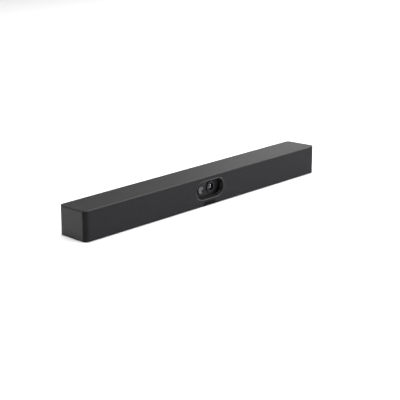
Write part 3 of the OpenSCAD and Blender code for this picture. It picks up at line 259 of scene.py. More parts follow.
def make_piece(name, body, material, shapes, replaced=(), crease=40):
    """One mesh from several shapes, in place, smooth except at edges sharper than crease degrees."""
    points, faces, count = [], [], 0
    for shape_points, shape_faces in shapes:
        points.append(shape_points)
        faces += [[i + count for i in face] for face in shape_faces]
        count += len(shape_points)
    mesh = bpy.data.meshes.new(name)
    mesh.from_pydata(np.concatenate(points).tolist(), [], faces)
    work = bmesh.new()
    work.from_mesh(mesh)
    bmesh.ops.remove_doubles(work, verts=work.verts, dist=1e-6)
    bmesh.ops.dissolve_degenerate(work, edges=work.edges, dist=1e-7)
    bmesh.ops.delete(work, geom=[edge for edge in work.edges if not edge.link_faces], context="EDGES")
    bmesh.ops.recalc_face_normals(work, faces=work.faces)
    work.to_mesh(mesh)
    work.free()
    mesh.polygons.foreach_set("use_smooth", np.ones(len(mesh.polygons), bool))
    mesh.set_sharp_from_angle(angle=math.radians(crease))
    mesh.materials.append(material)
    piece = bpy.data.objects.new(name, mesh)
    bpy.context.scene.collection.objects.link(piece)
    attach(piece, body)
    if replaced:
        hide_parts(*replaced)
    return piece


def finish(material, *nodes):
    """Gives solids of the frame a material."""
    for node in nodes:
        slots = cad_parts[node].data.materials
        slots.clear()
        slots.append(material)


# Materials


def linear(code):
    """sRGB hex code as linear red, green, blue and alpha."""
    parts = np.array([int(code[i : i + 2], 16) for i in (1, 3, 5)]) / 255
    return (*np.where(parts <= 0.04045, parts / 12.92, ((parts + 0.055) / 1.055) ** 2.4), 1.0)


def add(tree, kind, inputs=None, **settings):
    """Adds a node, with its settings, and its inputs as values or as other nodes' sockets."""
    node = tree.nodes.new(kind)
    for key, value in settings.items():
        setattr(node, key, value)
    for key, value in (inputs or {}).items():
        if isinstance(value, bpy.types.NodeSocket):
            tree.links.new(value, node.inputs[key])
        else:
            node.inputs[key].default_value = value
    return node


def new_material(name, base, roughness, **sockets):
    """A material whose shader has these constant values; returns it, its tree and its shader."""
    material = bpy.data.materials.new(name)
    material.use_nodes = True
    tree = material.node_tree
    shader = tree.nodes["Principled BSDF"]
    shader.inputs["Base Color"].default_value = linear(base)
    shader.inputs["Roughness"].default_value = roughness
    for key, value in sockets.items():
        shader.inputs[key.replace("_", " ")].default_value = value
    material.diffuse_color = linear(base)
    return material, tree, shader


def patches(tree, size_mm, low=0.0, high=1.0, detail=2.0, stretch=(1, 1, 1)):
    """Soft random patches size_mm wide, from low to high; a stretch under 1 draws them out."""
    place = add(tree, "ShaderNodeTexCoord").outputs["Object"]
    drawn = add(tree, "ShaderNodeVectorMath", {0: place, 1: stretch}, operation="MULTIPLY").outputs[0]
    sockets = {"Vector": drawn, "Scale": 1 / (size_mm * MM), "Detail": detail}
    cloud = add(tree, "ShaderNodeTexNoise", sockets).outputs["Fac"]
    # The noise hardly leaves the range from a third to two thirds, which is drawn out to the whole
    sockets = {"Value": cloud, "From Min": 0.33, "From Max": 0.67, "To Min": low, "To Max": high}
    return add(tree, "ShaderNodeMapRange", sockets).outputs["Result"]


def relief(tree, shader, height, depth_mm, edge_mm=0.0):
    """Raises the surface by height times depth_mm; edge_mm rounds sharp edges in the shading."""
    sockets = {"Height": height, "Distance": depth_mm * MM}
    if edge_mm:
        edge = add(tree, "ShaderNodeBevel", {"Radius": edge_mm * MM}, samples=4)
        sockets["Normal"] = edge.outputs["Normal"]
    raised = add(tree, "ShaderNodeBump", sockets)
    tree.links.new(raised.outputs["Normal"], shader.inputs["Normal"])


def mottled(tree, size_mm, base, shade):
    """Two tones in soft patches size_mm wide."""
    tones = {0: patches(tree, size_mm, detail=3.0), 6: linear(base), 7: linear(shade)}
    return add(tree, "ShaderNodeMix", tones, data_type="RGBA").outputs[2]


def moulded(name, base, shade, roughness, specular=0.4, grit_mm=0.4, depth_mm=0.015, edge_mm=0.25):
    """Matt skin of fine even grit with faint mottling, as on plastic from a spark-eroded tool."""
    material, tree, shader = new_material(name, base, roughness, Specular_IOR_Level=specular)
    tree.links.new(mottled(tree, 14.0, base, shade), shader.inputs["Base Color"])
    grit = patches(tree, grit_mm, roughness - 0.04, roughness + 0.05, 1.0)
    tree.links.new(grit, shader.inputs["Roughness"])
    relief(tree, shader, patches(tree, grit_mm, detail=1.0), depth_mm, edge_mm)
    return material


def polished(name, base, roughness, specular=0.5, edge_mm=0.15):
    """Polished, painted or cast surface: an even colour, with a slight waviness."""
    material, tree, shader = new_material(name, base, roughness, Specular_IOR_Level=specular)
    waves = patches(tree, 5.0, roughness * 0.85, roughness * 1.15, 1.0)
    tree.links.new(waves, shader.inputs["Roughness"])
    relief(tree, shader, patches(tree, 5.0, detail=1.0), 0.01, edge_mm)
    return material


def machined(name, base, roughness, stretch=(1, 1, 1), edge_mm=0.12):
    """Bare or plated metal with fine tool marks 0.3 mm wide, drawn out along one axis."""
    material, tree, shader = new_material(name, base, roughness, Metallic=1.0)
    marks = patches(tree, 0.3, roughness * 0.8, roughness * 1.25, 2.0, stretch)
    tree.links.new(marks, shader.inputs["Roughness"])
    relief(tree, shader, patches(tree, 0.3, stretch=stretch), 0.002, edge_mm)
    return material


def perforated(name, base, shade, hole, pitch_mm, hole_mm):
    """Powder-coated steel, punched with round holes on a close-packed grid that runs on round the corners.
    The holes are painted in, near black: painted shade of the inside seen through them.
    """
    material, tree, shader = new_material(name, base, 0.6, Specular_IOR_Level=0.06)
    place = add(tree, "ShaderNodeTexCoord").outputs["Object"]
    split = add(tree, "ShaderNodeSeparateXYZ", {0: place}).outputs
    side = add(tree, "ShaderNodeMath", {0: split["X"]}, operation="SIGN").outputs[0]
    back = add(tree, "ShaderNodeMath", {0: split["Y"], 1: -FRONT_Y}, operation="ADD").outputs[0]
    flat = {0: side, 1: back, 2: split["X"]}
    unrolled = add(tree, "ShaderNodeMath", flat, operation="MULTIPLY_ADD").outputs[0]
    sheet = add(tree, "ShaderNodeCombineXYZ", {"X": unrolled, "Y": split["Z"]}).outputs[0]
    cell = np.array([pitch_mm * MM, pitch_mm * MM * math.sqrt(3)])
    arms = []
    for shift in (0.0, 0.5):
        cells = {0: sheet, 1: (1 / cell[0], 1 / cell[1], 0), 2: (shift, shift, 0)}
        scaled = add(tree, "ShaderNodeVectorMath", cells, operation="MULTIPLY_ADD").outputs[0]
        within = add(tree, "ShaderNodeVectorMath", {0: scaled}, operation="FRACTION").outputs[0]
        measured = {0: within, 1: (cell[0], cell[1], 0), 2: (-cell[0] / 2, -cell[1] / 2, 0)}
        arm = add(tree, "ShaderNodeVectorMath", measured, operation="MULTIPLY_ADD").outputs[0]
        arms.append(add(tree, "ShaderNodeVectorMath", {0: arm}, operation="LENGTH").outputs["Value"])
    distance = add(tree, "ShaderNodeMath", dict(enumerate(arms)), operation="MINIMUM").outputs[0]
    # The coat rounds each hole's rim over this share of the hole's radius, inwards and outwards
    rim, soft = hole_mm / 2 * MM, 0.15
    sockets = {"Value": distance, "From Min": rim * (1 - soft), "From Max": rim * (1 + soft)}
    web = add(tree, "ShaderNodeMapRange", sockets).outputs[0]
    # Painted shade: the near-black hole tone, darker than the black frame behind the grille, stands in for
    # the shaded inside seen through each hole
    tones = {0: web, 6: linear(hole), 7: mottled(tree, 2.5, base, shade)}
    seen = add(tree, "ShaderNodeMix", tones, data_type="RGBA").outputs[2]
    tree.links.new(seen, shader.inputs["Base Color"])
    relief(tree, shader, web, 0.15)
    return material


def turned_black(name, base, centre, pitch_mm):
    """Black anodised aluminium from the lathe: fine grooves round its axis and a soft dark sheen."""
    material, tree, shader = new_material(name, base, 0.3, Metallic=1.0)
    place = add(tree, "ShaderNodeTexCoord").outputs["Object"]
    moved = {0: place, 1: (1, 0, 1), 2: (-centre[0], 0, -centre[2])}
    flat = add(tree, "ShaderNodeVectorMath", moved, operation="MULTIPLY_ADD").outputs[0]
    radius = add(tree, "ShaderNodeVectorMath", {0: flat}, operation="LENGTH").outputs["Value"]
    phase = {0: radius, 1: 2 * math.pi / (pitch_mm * MM)}
    turns = add(tree, "ShaderNodeMath", phase, operation="MULTIPLY").outputs[0]
    groove = add(tree, "ShaderNodeMath", {0: turns}, operation="SINE").outputs[0]
    sockets = {"Value": groove, "From Min": -1, "From Max": 1, "To Min": 0.24, "To Max": 0.4}
    sheen = add(tree, "ShaderNodeMapRange", sockets).outputs[0]
    tree.links.new(sheen, shader.inputs["Roughness"])
    relief(tree, shader, groove, 0.005, 0.1)
    return material


def optical_glass(name, tint, specular):
    """Ground and polished optical glass, whose coating takes away most of what it would mirror."""
    material, tree, shader = new_material(name, tint, 0.03, IOR=1.6, Transmission_Weight=1.0,
                                          Specular_IOR_Level=specular)
    tree.links.new(patches(tree, 1.5, 0.02, 0.06, 3.0), shader.inputs["Roughness"])
    return material


def rubbery(name, base):
    """Compression-moulded silicone rubber: soft, matt and a little dusty."""
    material, tree, shader = new_material(name, base, 0.8, Specular_IOR_Level=0.25,
                                          Sheen_Weight=0.1)
    tree.links.new(patches(tree, 3.0, 0.74, 0.86, 4.0), shader.inputs["Roughness"])
    relief(tree, shader, patches(tree, 0.4, detail=1.0), 0.015, 0.2)
    return material


def circuit_board(name, mask, track):
    """Etched copper tracks under solder mask on glass laminate: a dark gloss with faint lighter lines."""
    material, tree, shader = new_material(name, mask, 0.35)
    place = add(tree, "ShaderNodeTexCoord").outputs["Object"]
    turn = {"Vector": place, "Rotation": (math.pi / 2, 0, 0)}
    upright = add(tree, "ShaderNodeMapping", turn).outputs[0]
    sockets = {"Vector": upright, "Scale": 1 / (6 * MM), "Mortar Size": 0.03, "Brick Width": 1.1,
               "Row Height": 0.35, "Color1": linear(mask), "Color2": linear(mask), "Mortar": linear(track)}
    tracks = add(tree, "ShaderNodeTexBrick", sockets)
    tree.links.new(tracks.outputs["Color"], shader.inputs["Base Color"])
    relief(tree, shader, tracks.outputs["Fac"], 0.02)
    return material


# Settings


class BarStageSettings(bpy.types.PropertyGroup):
    """Camera and studio light"""

    camera_place: FloatVectorProperty(name="Camera", description="Where the camera stands", subtype="XYZ",
                                      unit="LENGTH", default=(-1.28793, -1.26554, 0.56666))
    aim: FloatVectorProperty(name="Aim", description="Point that the camera looks at", subtype="XYZ",
                             unit="LENGTH", default=(0.00385, -0.00336, 0.00130))
    lens: FloatProperty(name="Lens", description="Focal length, in millimetres, on a 36 mm wide frame",
                        default=109.71, min=20, max=300)
    room: FloatProperty(name="Room", description="Strength of the room's even light", default=0.01, min=0)
    top: FloatProperty(name="Top light", description="Power of the large softbox overhead", default=144,
                       min=0, unit="POWER")
    back: FloatProperty(name="Back light", description="Power of the softbox behind, on the right",
                        default=8.0, min=0, unit="POWER")
    front: FloatProperty(name="Front light", description="Power of the softbox in front, on the right",
                         default=45, min=0, unit="POWER")
    side: FloatProperty(name="Side light", description="Power of the low softbox on the right", default=60,
                        min=0, unit="POWER")
    floor: StringProperty(name="Floor", description="Colour of the floor, as a hex code", default="#f4f4f4")


class BarFinishSettings(bpy.types.PropertyGroup):
    """Colours and surface sizes"""

    shell: StringProperty(name="Shell", description="Moulded shell, as a hex code", default="#272727")
    shell_shade: StringProperty(name="Shell mottle", description="Second tone of the shell",
                                default="#292929")
    grille: StringProperty(name="Grille", description="Coat of the grille, as a hex code",
                           default="#262628")
    grille_shade: StringProperty(name="Grille mottle", description="Second tone of the grille",
                                 default="#29292b")
    # Painted shade: this near-black tone is painted in each hole for the shaded inside behind the grille
    hole: StringProperty(name="Hole", description="Tone seen through the grille's holes", default="#060607")
    trim: StringProperty(name="Trim", description="Satin trim round the window", default="#3c3c3d")
    pitch: FloatProperty(name="Grille pitch",
                         description="Distance between the grille's holes, in millimetres", default=1.2,
                         min=0.8, max=5)
    hole_size: FloatProperty(name="Grille hole",
                             description="Diameter of the grille's holes, in millimetres", default=0.65,
                             min=0.4, max=4)


class BarWindowSettings(bpy.types.PropertyGroup):
    """Camera window and lenses"""

    lip: FloatProperty(name="Lip", description="Visible width of the trim", default=0.001, unit="LENGTH")
    sleeve: FloatProperty(name="Sleeve", description="Wall of the trim behind its lip", default=0.0005,
                          unit="LENGTH")
    lip_round: FloatProperty(name="Lip edge", description="Radius of the lip's two edges", default=0.00045,
                             unit="LENGTH")
    draft: FloatProperty(name="Draft", description="How much the tunnel narrows on each side",
                         default=0.002, unit="LENGTH")
    wall: FloatProperty(name="Wall", description="Wall of the tunnel", default=0.0008, unit="LENGTH")
    flange: FloatProperty(name="Flange", description="Thickness of the tunnel's flange", default=0.0014,
                          unit="LENGTH")
    badge_edge: FloatProperty(name="Badge edge", description="Rounding of the badge plate's edge",
                              default=0.0002, unit="LENGTH")
    badge_corner: FloatProperty(name="Badge corner", description="Radius of the badge plate's corners",
                                default=0.0006, unit="LENGTH")
    lens_body: FloatProperty(name="Lens body", description="Radius of a lens barrel behind its ring",
                             default=0.0067, unit="LENGTH")
    lens_bore: FloatProperty(name="Lens bore", description="Radius of a barrel's rear bore", default=0.0032,
                             unit="LENGTH")
    ring: FloatProperty(name="Lens ring", description="Thickness of a barrel's front ring", default=0.0015,
                        unit="LENGTH")
    seat: FloatProperty(name="Glass seat", description="Depth at which a front glass is seated",
                        default=0.0035, unit="LENGTH")


class BarSocketSettings(bpy.types.PropertyGroup):
    """Sockets, inserts and feet"""

    gold: StringProperty(name="Gold", description="Plating of the contacts, as a hex code",
                         default="#d8a94a")
    video_width: FloatProperty(name="Video socket", description="Width of a video socket", default=0.015,
                               unit="LENGTH")
    data_width: FloatProperty(name="Data socket", description="Width of a data socket", default=0.0132,
                              unit="LENGTH")
    contacts: IntProperty(name="Network contacts", description="Contacts of the network socket", default=8,
                          min=2, max=10)
    tripod_pitch: FloatProperty(name="Tripod thread",
                                description="Pitch of the tripod thread, 20 to the inch", default=0.00127,
                                unit="LENGTH")
    bracket_pitch: FloatProperty(name="Bracket thread", description="Pitch of the bracket threads",
                                 default=0.0007, unit="LENGTH")
    tripod_bore: FloatProperty(name="Tripod bore", description="Radius at the crests of the tripod thread",
                               default=0.0026, unit="LENGTH")
    bracket_bore: FloatProperty(name="Bracket bore",
                                description="Radius at the crests of the bracket threads", default=0.00165,
                                unit="LENGTH")
    foot_round: FloatProperty(name="Foot edge", description="Rounding of a foot's lower edge",
                              default=0.0004, unit="LENGTH")


SETTINGS = {
    "bar_stage": BarStageSettings,
    "bar_finish": BarFinishSettings,
    "bar_window": BarWindowSettings,
    "bar_socket": BarSocketSettings,
}


# Operators, one for the studio and one for each piece or group of like pieces


def look(place, aim):
    """Euler angles of something at place that looks at aim, upright."""
    return (Vector(aim) - Vector(place)).to_track_quat("-Z", "Y").to_euler()


def softbox(name, place, aim, size, power):
    """Rectangular area light, in metres and watts."""
    light = bpy.data.lights.new(name, "AREA")
    light.shape = "RECTANGLE"
    light.size, light.size_y = size
    light.energy = power
    lamp = bpy.data.objects.new(name, light)
    lamp.location = place
    lamp.rotation_euler = look(place, aim)
    bpy.context.scene.collection.objects.link(lamp)


class BAR_OT_stage(bpy.types.Operator):
    """Pale floor, soft studio light and the camera"""

    bl_idname = "bar.stage"
    bl_label = "Studio"

    def execute(self, context):
        s = context.scene.bar_stage
        scene = context.scene
        scene.view_settings.view_transform = "Standard"
        world = bpy.data.worlds.new("room")
        world.use_nodes = True
        background = world.node_tree.nodes["Background"].inputs
        background["Color"].default_value = linear("#ffffff")
        background["Strength"].default_value = s.room
        scene.world = world
        camera = bpy.data.objects.new("camera", bpy.data.cameras.new("camera"))
        scene.collection.objects.link(camera)
        camera.location = s.camera_place
        camera.rotation_euler = look(s.camera_place, s.aim)
        camera.data.lens = s.lens
        camera.data.sensor_width = 36
        camera.data.clip_end = 50
        scene.camera = camera
        half = 12.0
        mesh = bpy.data.meshes.new("floor")
        square = [(-half, -half, 0), (half, -half, 0), (half, half, 0), (-half, half, 0)]
        mesh.from_pydata(square, [], [(0, 1, 2, 3)])
        floor = bpy.data.objects.new("floor", mesh)
        scene.collection.objects.link(floor)
        # Matt paper: an even white ground with hardly any gloss
        mesh.materials.append(new_material("matt_white_paper", s.floor, 0.9, Specular_IOR_Level=0.2)[0])
        softbox("top_softbox", (0, 0, 2.6), (0, 0, 0), (3.0, 3.0), s.top)
        softbox("back_softbox", (2.3, 1.3, 0.75), (0.1, 0, 0), (1.4, 0.9), s.back)
        softbox("front_softbox", (1.6, -2.2, 1.4), (0, 0, 0), (1.6, 1.2), s.front)
        softbox("side_softbox", (2.4, -1.1, 0.5), (0, 0, 0.02), (1.6, 0.85), s.side)
        return {"FINISHED"}


class BAR_OT_shells(bpy.types.Operator):
    """Moulded housing, covers and inner frames"""

    bl_idname = "bar.shells"
    bl_label = "Shells"

    def execute(self, context):
        s = context.scene.bar_finish
        # Spark-eroded ABS outside: charcoal, matt, lit broadly by the softboxes
        finish(moulded("spark_eroded_abs", s.shell, s.shell_shade, 0.5, 0.37), "top_cover", "rear_housing",
               "bottom_cover")
        # Coarser black ABS inside, which gives almost no gloss
        finish(moulded("matt_black_abs", "#121213", "#151516", 0.6, 0.25, 0.6), "front_frame",
               "left_speaker_box", "right_speaker_box", "camera_frame", "lens_holders")
        return {"FINISHED"}


class BAR_OT_grille(bpy.types.Operator):
    """Perforated front grille"""

    bl_idname = "bar.grille"
    bl_label = "Grille"

    def execute(self, context):
        s = context.scene.bar_finish
        # Powder coat on punched steel: a flat, slightly cool dark grey. Holes of 0.4 mm at 0.8 mm are too
        # fine to show in the render, so they are drawn half as coarse again.
        steel = perforated("powder_coated_perforated_steel", s.grille, s.grille_shade, s.hole, s.pitch,
                           s.hole_size)
        finish(steel, "front_grille")
        return {"FINISHED"}


class BAR_OT_badge(bpy.types.Operator):
    """Bare badge plate with a rounded edge"""

    bl_idname = "bar.badge"
    bl_label = "Badge plate"

    def execute(self, context):
        s = context.scene.bar_window
        low, high = corners("badge_plate")
        size, middle = high - low, (low + high) / 2
        edge = s.badge_edge
        profile = np.concatenate([[[0, size[1]]], arc((-edge, edge), edge, 0, -90, 6)])
        outline = round_rectangle(size[0], size[2], s.badge_corner)
        plate = carried(outline, profile, facing_front((middle[0], low[1], middle[2])), closed=False)
        # Satin black ABS: darker than the grille round it
        black = polished("satin_black_abs", "#060606", 0.4, 0.05, 0.0)
        make_piece("badge_plate_bare", "bar", black, [plate], ["badge_plate"], 50)
        return {"FINISHED"}


class BAR_OT_window(bpy.types.Operator):
    """Trim ring with a rounded lip, and the drafted black tunnel behind it"""

    bl_idname = "bar.window"
    bl_label = "Window"

    def execute(self, context):
        s = context.scene.bar_window
        low, high = corners("window_trim")
        width, height = (high - low)[[0, 2]]
        place = facing_front((0, 0, WINDOW_Z))
        r = s.lip_round
        lip = np.concatenate([
            [[-s.lip, high[1]]],
            arc((-s.lip + r, low[1] + r), r, 180, 270, 7),
            arc((-r, low[1] + r), r, 270, 360, 7),
            [[0, FRONT_Y], [s.sleeve - s.lip, FRONT_Y], [s.sleeve - s.lip, high[1]]],
        ])
        # Satin paint on ABS: a grey line, brighter where the lip turns to the light
        satin = polished("satin_painted_abs", context.scene.bar_finish.trim, 0.4, 0.3, 0.0)
        ring = carried(stadium(width, height), lip, place)
        make_piece("window_trim_ring", "bar", satin, [ring], ["window_trim"], 35)

        low, high = corners("window_bezel")
        start, end = low[1], high[1]
        share = np.linspace(0, 1, 12)
        inside = np.stack([-s.draft * share, start + (end - start) * share], -1)
        behind = FRAME_BACK_Y + s.flange
        at_flange = s.wall - s.draft * (behind - start) / (end - start)
        reach = (high[2] - low[2]) / 2 - (height / 2 - s.lip)
        outside = [[s.wall - s.draft, end], [at_flange, behind], [reach, behind], [reach, FRAME_BACK_Y],
                   [s.sleeve, FRAME_BACK_Y], [s.sleeve, start]]
        # Fine matt black ABS, which still catches a soft light along the tunnel's lower wall
        black = moulded("fine_matt_black_abs", "#101011", "#131314", 0.4, 0.45, 0.25, 0.006, 0.0)
        outline = stadium(width - 2 * s.lip, height - 2 * s.lip)
        tunnel = carried(outline, np.concatenate([inside, outside]), place)
        make_piece("window_tunnel", "bar", black, [tunnel], ["window_bezel"], 35)
        return {"FINISHED"}


class BAR_OT_lenses(bpy.types.Operator):
    """Turned lens barrels, coated front glasses and the elements behind them"""

    bl_idname = "bar.lenses"
    bl_label = "Lenses"

    def execute(self, context):
        s = context.scene.bar_window
        # Coated crown glass with sharp highlights. Its grey tint, far darker than clear crown glass, is
        # painted shade that darkens the lens's inside seen through it
        glass = optical_glass("coated_crown_glass_painted_shade", "#7c8084", 0.3)
        # Matt black stop, the darkest thing in the lens
        iris = moulded("matt_black_iris", "#030303", "#040404", 0.8, 0.1, 0.2)
        inner_r = s.lens_bore - FIT
        back = s.seat + INNER_BACK
        inner = np.concatenate([
            dome(inner_r, INNER_BALL, s.seat + INNER_APEX, 10), [[inner_r, back], [0, back]],
        ])
        stop = np.array([
            [STOP_HOLE, STOP_FRONT], [inner_r, STOP_FRONT], [inner_r, STOP_BACK], [STOP_HOLE, STOP_BACK],
        ])
        for name, (hood, mouth, rise, apex) in LENSES.items():
            low, high = corners(f"{name}_lens_barrel")
            x, _, z = middle(f"{name}_lens_barrel")
            centre = np.array([x, low[1], z])
            outer, length = (high[0] - low[0]) / 2, high[1] - low[1]
            g_low, g_high = corners(f"{name}_lens_glass")
            glass_r, glass_end = (g_high[0] - g_low[0]) / 2, g_high[1] - low[1]
            bore = glass_r + FIT
            barrel = np.concatenate([
                [[bore, hood], [mouth, MOUTH_STEP], [mouth + GROOVE, 0]],
                np.array([outer, 0]) + RIM * (-1, 1),
                [[outer, s.ring], [s.lens_body, s.ring], [s.lens_body, length], [s.lens_bore, length],
                 [s.lens_bore, s.seat], [bore, s.seat]],
            ])
            # Black anodised aluminium: grooves from the lathe draw the light out into arcs
            black = turned_black(f"anodised_{name}_barrel", "#2b2b2d", centre, 0.25)
            make_piece(f"{name}_lens_barrel_turned", "bar", black, [turned(barrel, centre)],
                       [f"{name}_lens_barrel"], 30)
            front = dome(glass_r, ball_under(glass_r, rise), apex, 20)
            hollow_r, hollow = glass_r * HOLLOW_WIDTH, rise * HOLLOW_DEPTH
            rear = dome(hollow_r, ball_under(hollow_r, hollow), glass_end - hollow, 12)[::-1]
            element = np.concatenate([front, [[glass_r, glass_end]], rear])
            make_piece(f"{name}_lens_front_element", "bar", glass, [turned(element, centre)],
                       [f"{name}_lens_glass"], 30)
            make_piece(f"{name}_lens_inner_element", "bar", glass, [turned(inner, centre, 64)])
            make_piece(f"{name}_lens_stop", "bar", iris, [turned(stop, centre, 64)])
        # Bare silicon: a dark mirror at the bottom of the lens
        finish(polished("silicon_sensor", "#1a1c22", 0.15), "image_sensors")
        return {"FINISHED"}


class BAR_OT_shutter(bpy.types.Operator):
    """Privacy shutter, its pinion and motor"""

    bl_idname = "bar.shutter"
    bl_label = "Shutter"

    def execute(self, context):
        # Glass-filled nylon: black, with a faint dry sheen from the fibres
        finish(moulded("glass_filled_nylon", "#0e0e0f", "#111112", 0.45, 0.35, 0.3), "privacy_shutter")
        # Hobbed brass teeth and a plated motor can: warm and cool metal highlights
        finish(machined("hobbed_brass", "#b98c46", 0.3), "shutter_pinion")
        finish(machined("nickel_plated_can", "#b5b5b8", 0.28, (1, 0.1, 1)), "shutter_motor")
        return {"FINISHED"}


class BAR_OT_sockets(bpy.types.Operator):
    """Socket shells, and the tongues, contacts, liner and rings in them"""

    bl_idname = "bar.sockets"
    bl_label = "Sockets"

    def execute(self, context):
        s = context.scene.bar_socket
        # Nickel plate over drawn sheet: cool grey, with marks drawn out along the depth
        finish(machined("nickel_plated_sheet", "#a9a9ad", 0.32, (1, 0.15, 1)), "network_port", "video_ports",
               "data_ports", "small_data_port")
        # Moulded liquid crystal polymer: dull black beside the plate
        black = moulded("black_liquid_crystal_polymer", "#0e0e0f", "#111112", 0.5, 0.4, 0.4)
        finish(black, "power_jack", "audio_jack", "button_switches", "board_chips")
        # Gold plate on the contacts: small warm glints
        gold = machined("gold_plated_contacts", s.gold, 0.22, (1, 0.1, 1), 0.0)
        z = middle("video_ports")[2]
        half_video, half_data = s.video_width / 2, s.data_width / 2
        low, high = corners("video_ports")
        places = {"video_ports": (low[0] + half_video, high[0] - half_video)}
        low, high = corners("data_ports")
        places["data_ports"] = (low[0] + half_data, high[0] - half_data)
        places["small_data_port"] = (middle("small_data_port")[0],)
        tongues, strips = [], []
        for node, xs in places.items():
            for x in xs:
                self.tongue(tongues, strips, x, z, *TONGUES[node])
        make_piece("socket_tongues", "bar", black, tongues)
        make_piece("socket_contacts", "bar", gold, strips)

        x, _, z = middle("network_port")
        root, bend, tip = (point + (PORT_FACE_Y, z) for point in (NETWORK_ROOT, NETWORK_BEND, NETWORK_TIP))
        path = np.concatenate([[root], arc(bend, BEND_R, 90, -60, 8), [tip]])
        springs = [spring(at, *NETWORK_STRIP, path) for at in x + spread(s.contacts, NETWORK_PITCH)]
        make_piece("network_contacts", "bar", gold, springs)
        self.liner(x, z, black)

        mouths = []
        for node, (inner, outer) in MOUTHS.items():
            x, _, z = middle(node)
            ring = np.array([
                [inner, -SLEEVE], [inner, LET_IN], [inner + INNER_EDGE, PROUD], [outer - OUTER_EDGE, PROUD],
                [outer, -LET_IN], [inner + SLEEVE_WALL, -LET_IN], [inner + SLEEVE_WALL, -SLEEVE],
            ])
            mouths.append(turned(ring, (x, corners(node)[1][1], z), 64))
        # Chrome plate: a thin bright ring at each round socket
        chrome = machined("chrome_plated_mouth", "#c4c4c8", 0.18, (1, 1, 1), 0.0)
        make_piece("jack_mouths", "bar", chrome, mouths)
        return {"FINISHED"}

    def tongue(self, tongues, strips, x, z, width, height, depth, count, pitch, strip_width):
        """Plastic tongue of a socket, with contacts on its two flat sides."""
        back, front = PORT_FACE_Y - depth, PORT_FACE_Y - TONGUE_FRONT
        w, h, edge = width / 2 + TONGUE_SKIN, height / 2 + TONGUE_SKIN, strip_width / 2
        tongues.append(block((x - w, back, z - h), (x + w, front, z + h)))
        start, end = back + STRIP_ROOT, front - STRIP_FRONT
        for at in x + spread(count, pitch):
            for low in (z - h + STRIP_IN - STRIP, z + h - STRIP_IN):
                strips.append(block((at - edge, start, low), (at + edge, end, low + STRIP)))

    def liner(self, x, z, black):
        """Black liner of the network socket, whose floor leaves the latch's slot open."""
        end, mouth = PORT_FACE_Y - LINER_END, PORT_FACE_Y - LINER_MOUTH
        left, right, floor, roof = x - LINER_W, x + LINER_W, z - LINER_H, z + LINER_H
        inner_left, inner_right, inner_floor, inner_roof = left + LAP, right - LAP, floor + LAP, roof - LAP
        make_piece("network_liner", "bar", black, [
            block((left, end, floor), (left + LINER_WALL, mouth, roof)),
            block((right - LINER_WALL, end, floor), (right, mouth, roof)),
            block((inner_left, end, roof - LINER_WALL), (inner_right, mouth, inner_roof)),
            block((inner_left, end + LAP, inner_floor), (inner_right, end + LINER_WALL, inner_roof)),
            block((inner_left, end, inner_floor), (x - LATCH, mouth, floor + LINER_WALL)),
            block((x + LATCH, end, inner_floor), (inner_right, mouth, floor + LINER_WALL)),
        ])


class BAR_OT_buttons(bpy.types.Operator):
    """Power button with a dished, rounded cap, and the reset pin"""

    bl_idname = "bar.buttons"
    bl_label = "Buttons"

    def execute(self, context):
        s = context.scene.bar_finish
        low, high = corners("power_button")
        x, _, z = middle("power_button")
        flange_r, outside = (high[0] - low[0]) / 2, PORT_FACE_Y - FLANGE_IN
        inside = outside - FLANGE
        profile = np.concatenate([
            dome(DISH_R, DISH_BALL, high[1] - DISH, 8),
            arc((CAP_R - CAP_EDGE, high[1] - CAP_EDGE), CAP_EDGE, 90, 0, 7),
            [[CAP_R, outside], [flange_r, outside], [flange_r, inside], [STEM_R, inside], [STEM_R, low[1]],
             [0, low[1]]],
        ])
        # The housing's ABS from a finer tool, so the cap is a little smoother than what is round it
        shell = moulded("moulded_button", s.shell, s.shell_shade, 0.42, 0.4, 0.3)
        make_piece("power_button_cap", "power_key", shell, [turned(profile, (x, 0, z))],
                   ["power_button"], 35)
        # Darker ABS, hardly seen at the bottom of its hole
        finish(moulded("moulded_reset_pin", "#18181a", "#1b1b1d", 0.5), "reset_button")
        return {"FINISHED"}


class BAR_OT_inserts(bpy.types.Operator):
    """Threaded brass inserts under the bar and at its back"""

    bl_idname = "bar.inserts"
    bl_label = "Threaded inserts"

    def execute(self, context):
        s = context.scene.bar_socket
        # Turned brass: yellow, with a bright line on each turn of the thread
        brass = machined("turned_brass", "#c39a52", 0.26, (1, 1, 1), 0.0)
        low, high = corners("tripod_insert")
        lead_in = 0.5 * MM
        tube = threaded_tube((high[0] - low[0]) / 2, s.tripod_bore, s.tripod_pitch, high[2] - low[2], lead_in,
                             lying_flat((0, 0, low[2])))
        make_piece("tripod_insert_threaded", "bar", brass, [tube], ["tripod_insert"], 45)
        low, high = corners("bracket_inserts")
        radius, lead_in = (high[2] - low[2]) / 2, 0.3 * MM
        tubes = [
            threaded_tube(radius, s.bracket_bore, s.bracket_pitch, high[1] - low[1], lead_in,
                          facing_front((x, low[1], low[2] + radius)))
            for x in (low[0] + radius, high[0] - radius)
        ]
        make_piece("bracket_inserts_threaded", "bar", brass, tubes, ["bracket_inserts"], 45)
        return {"FINISHED"}


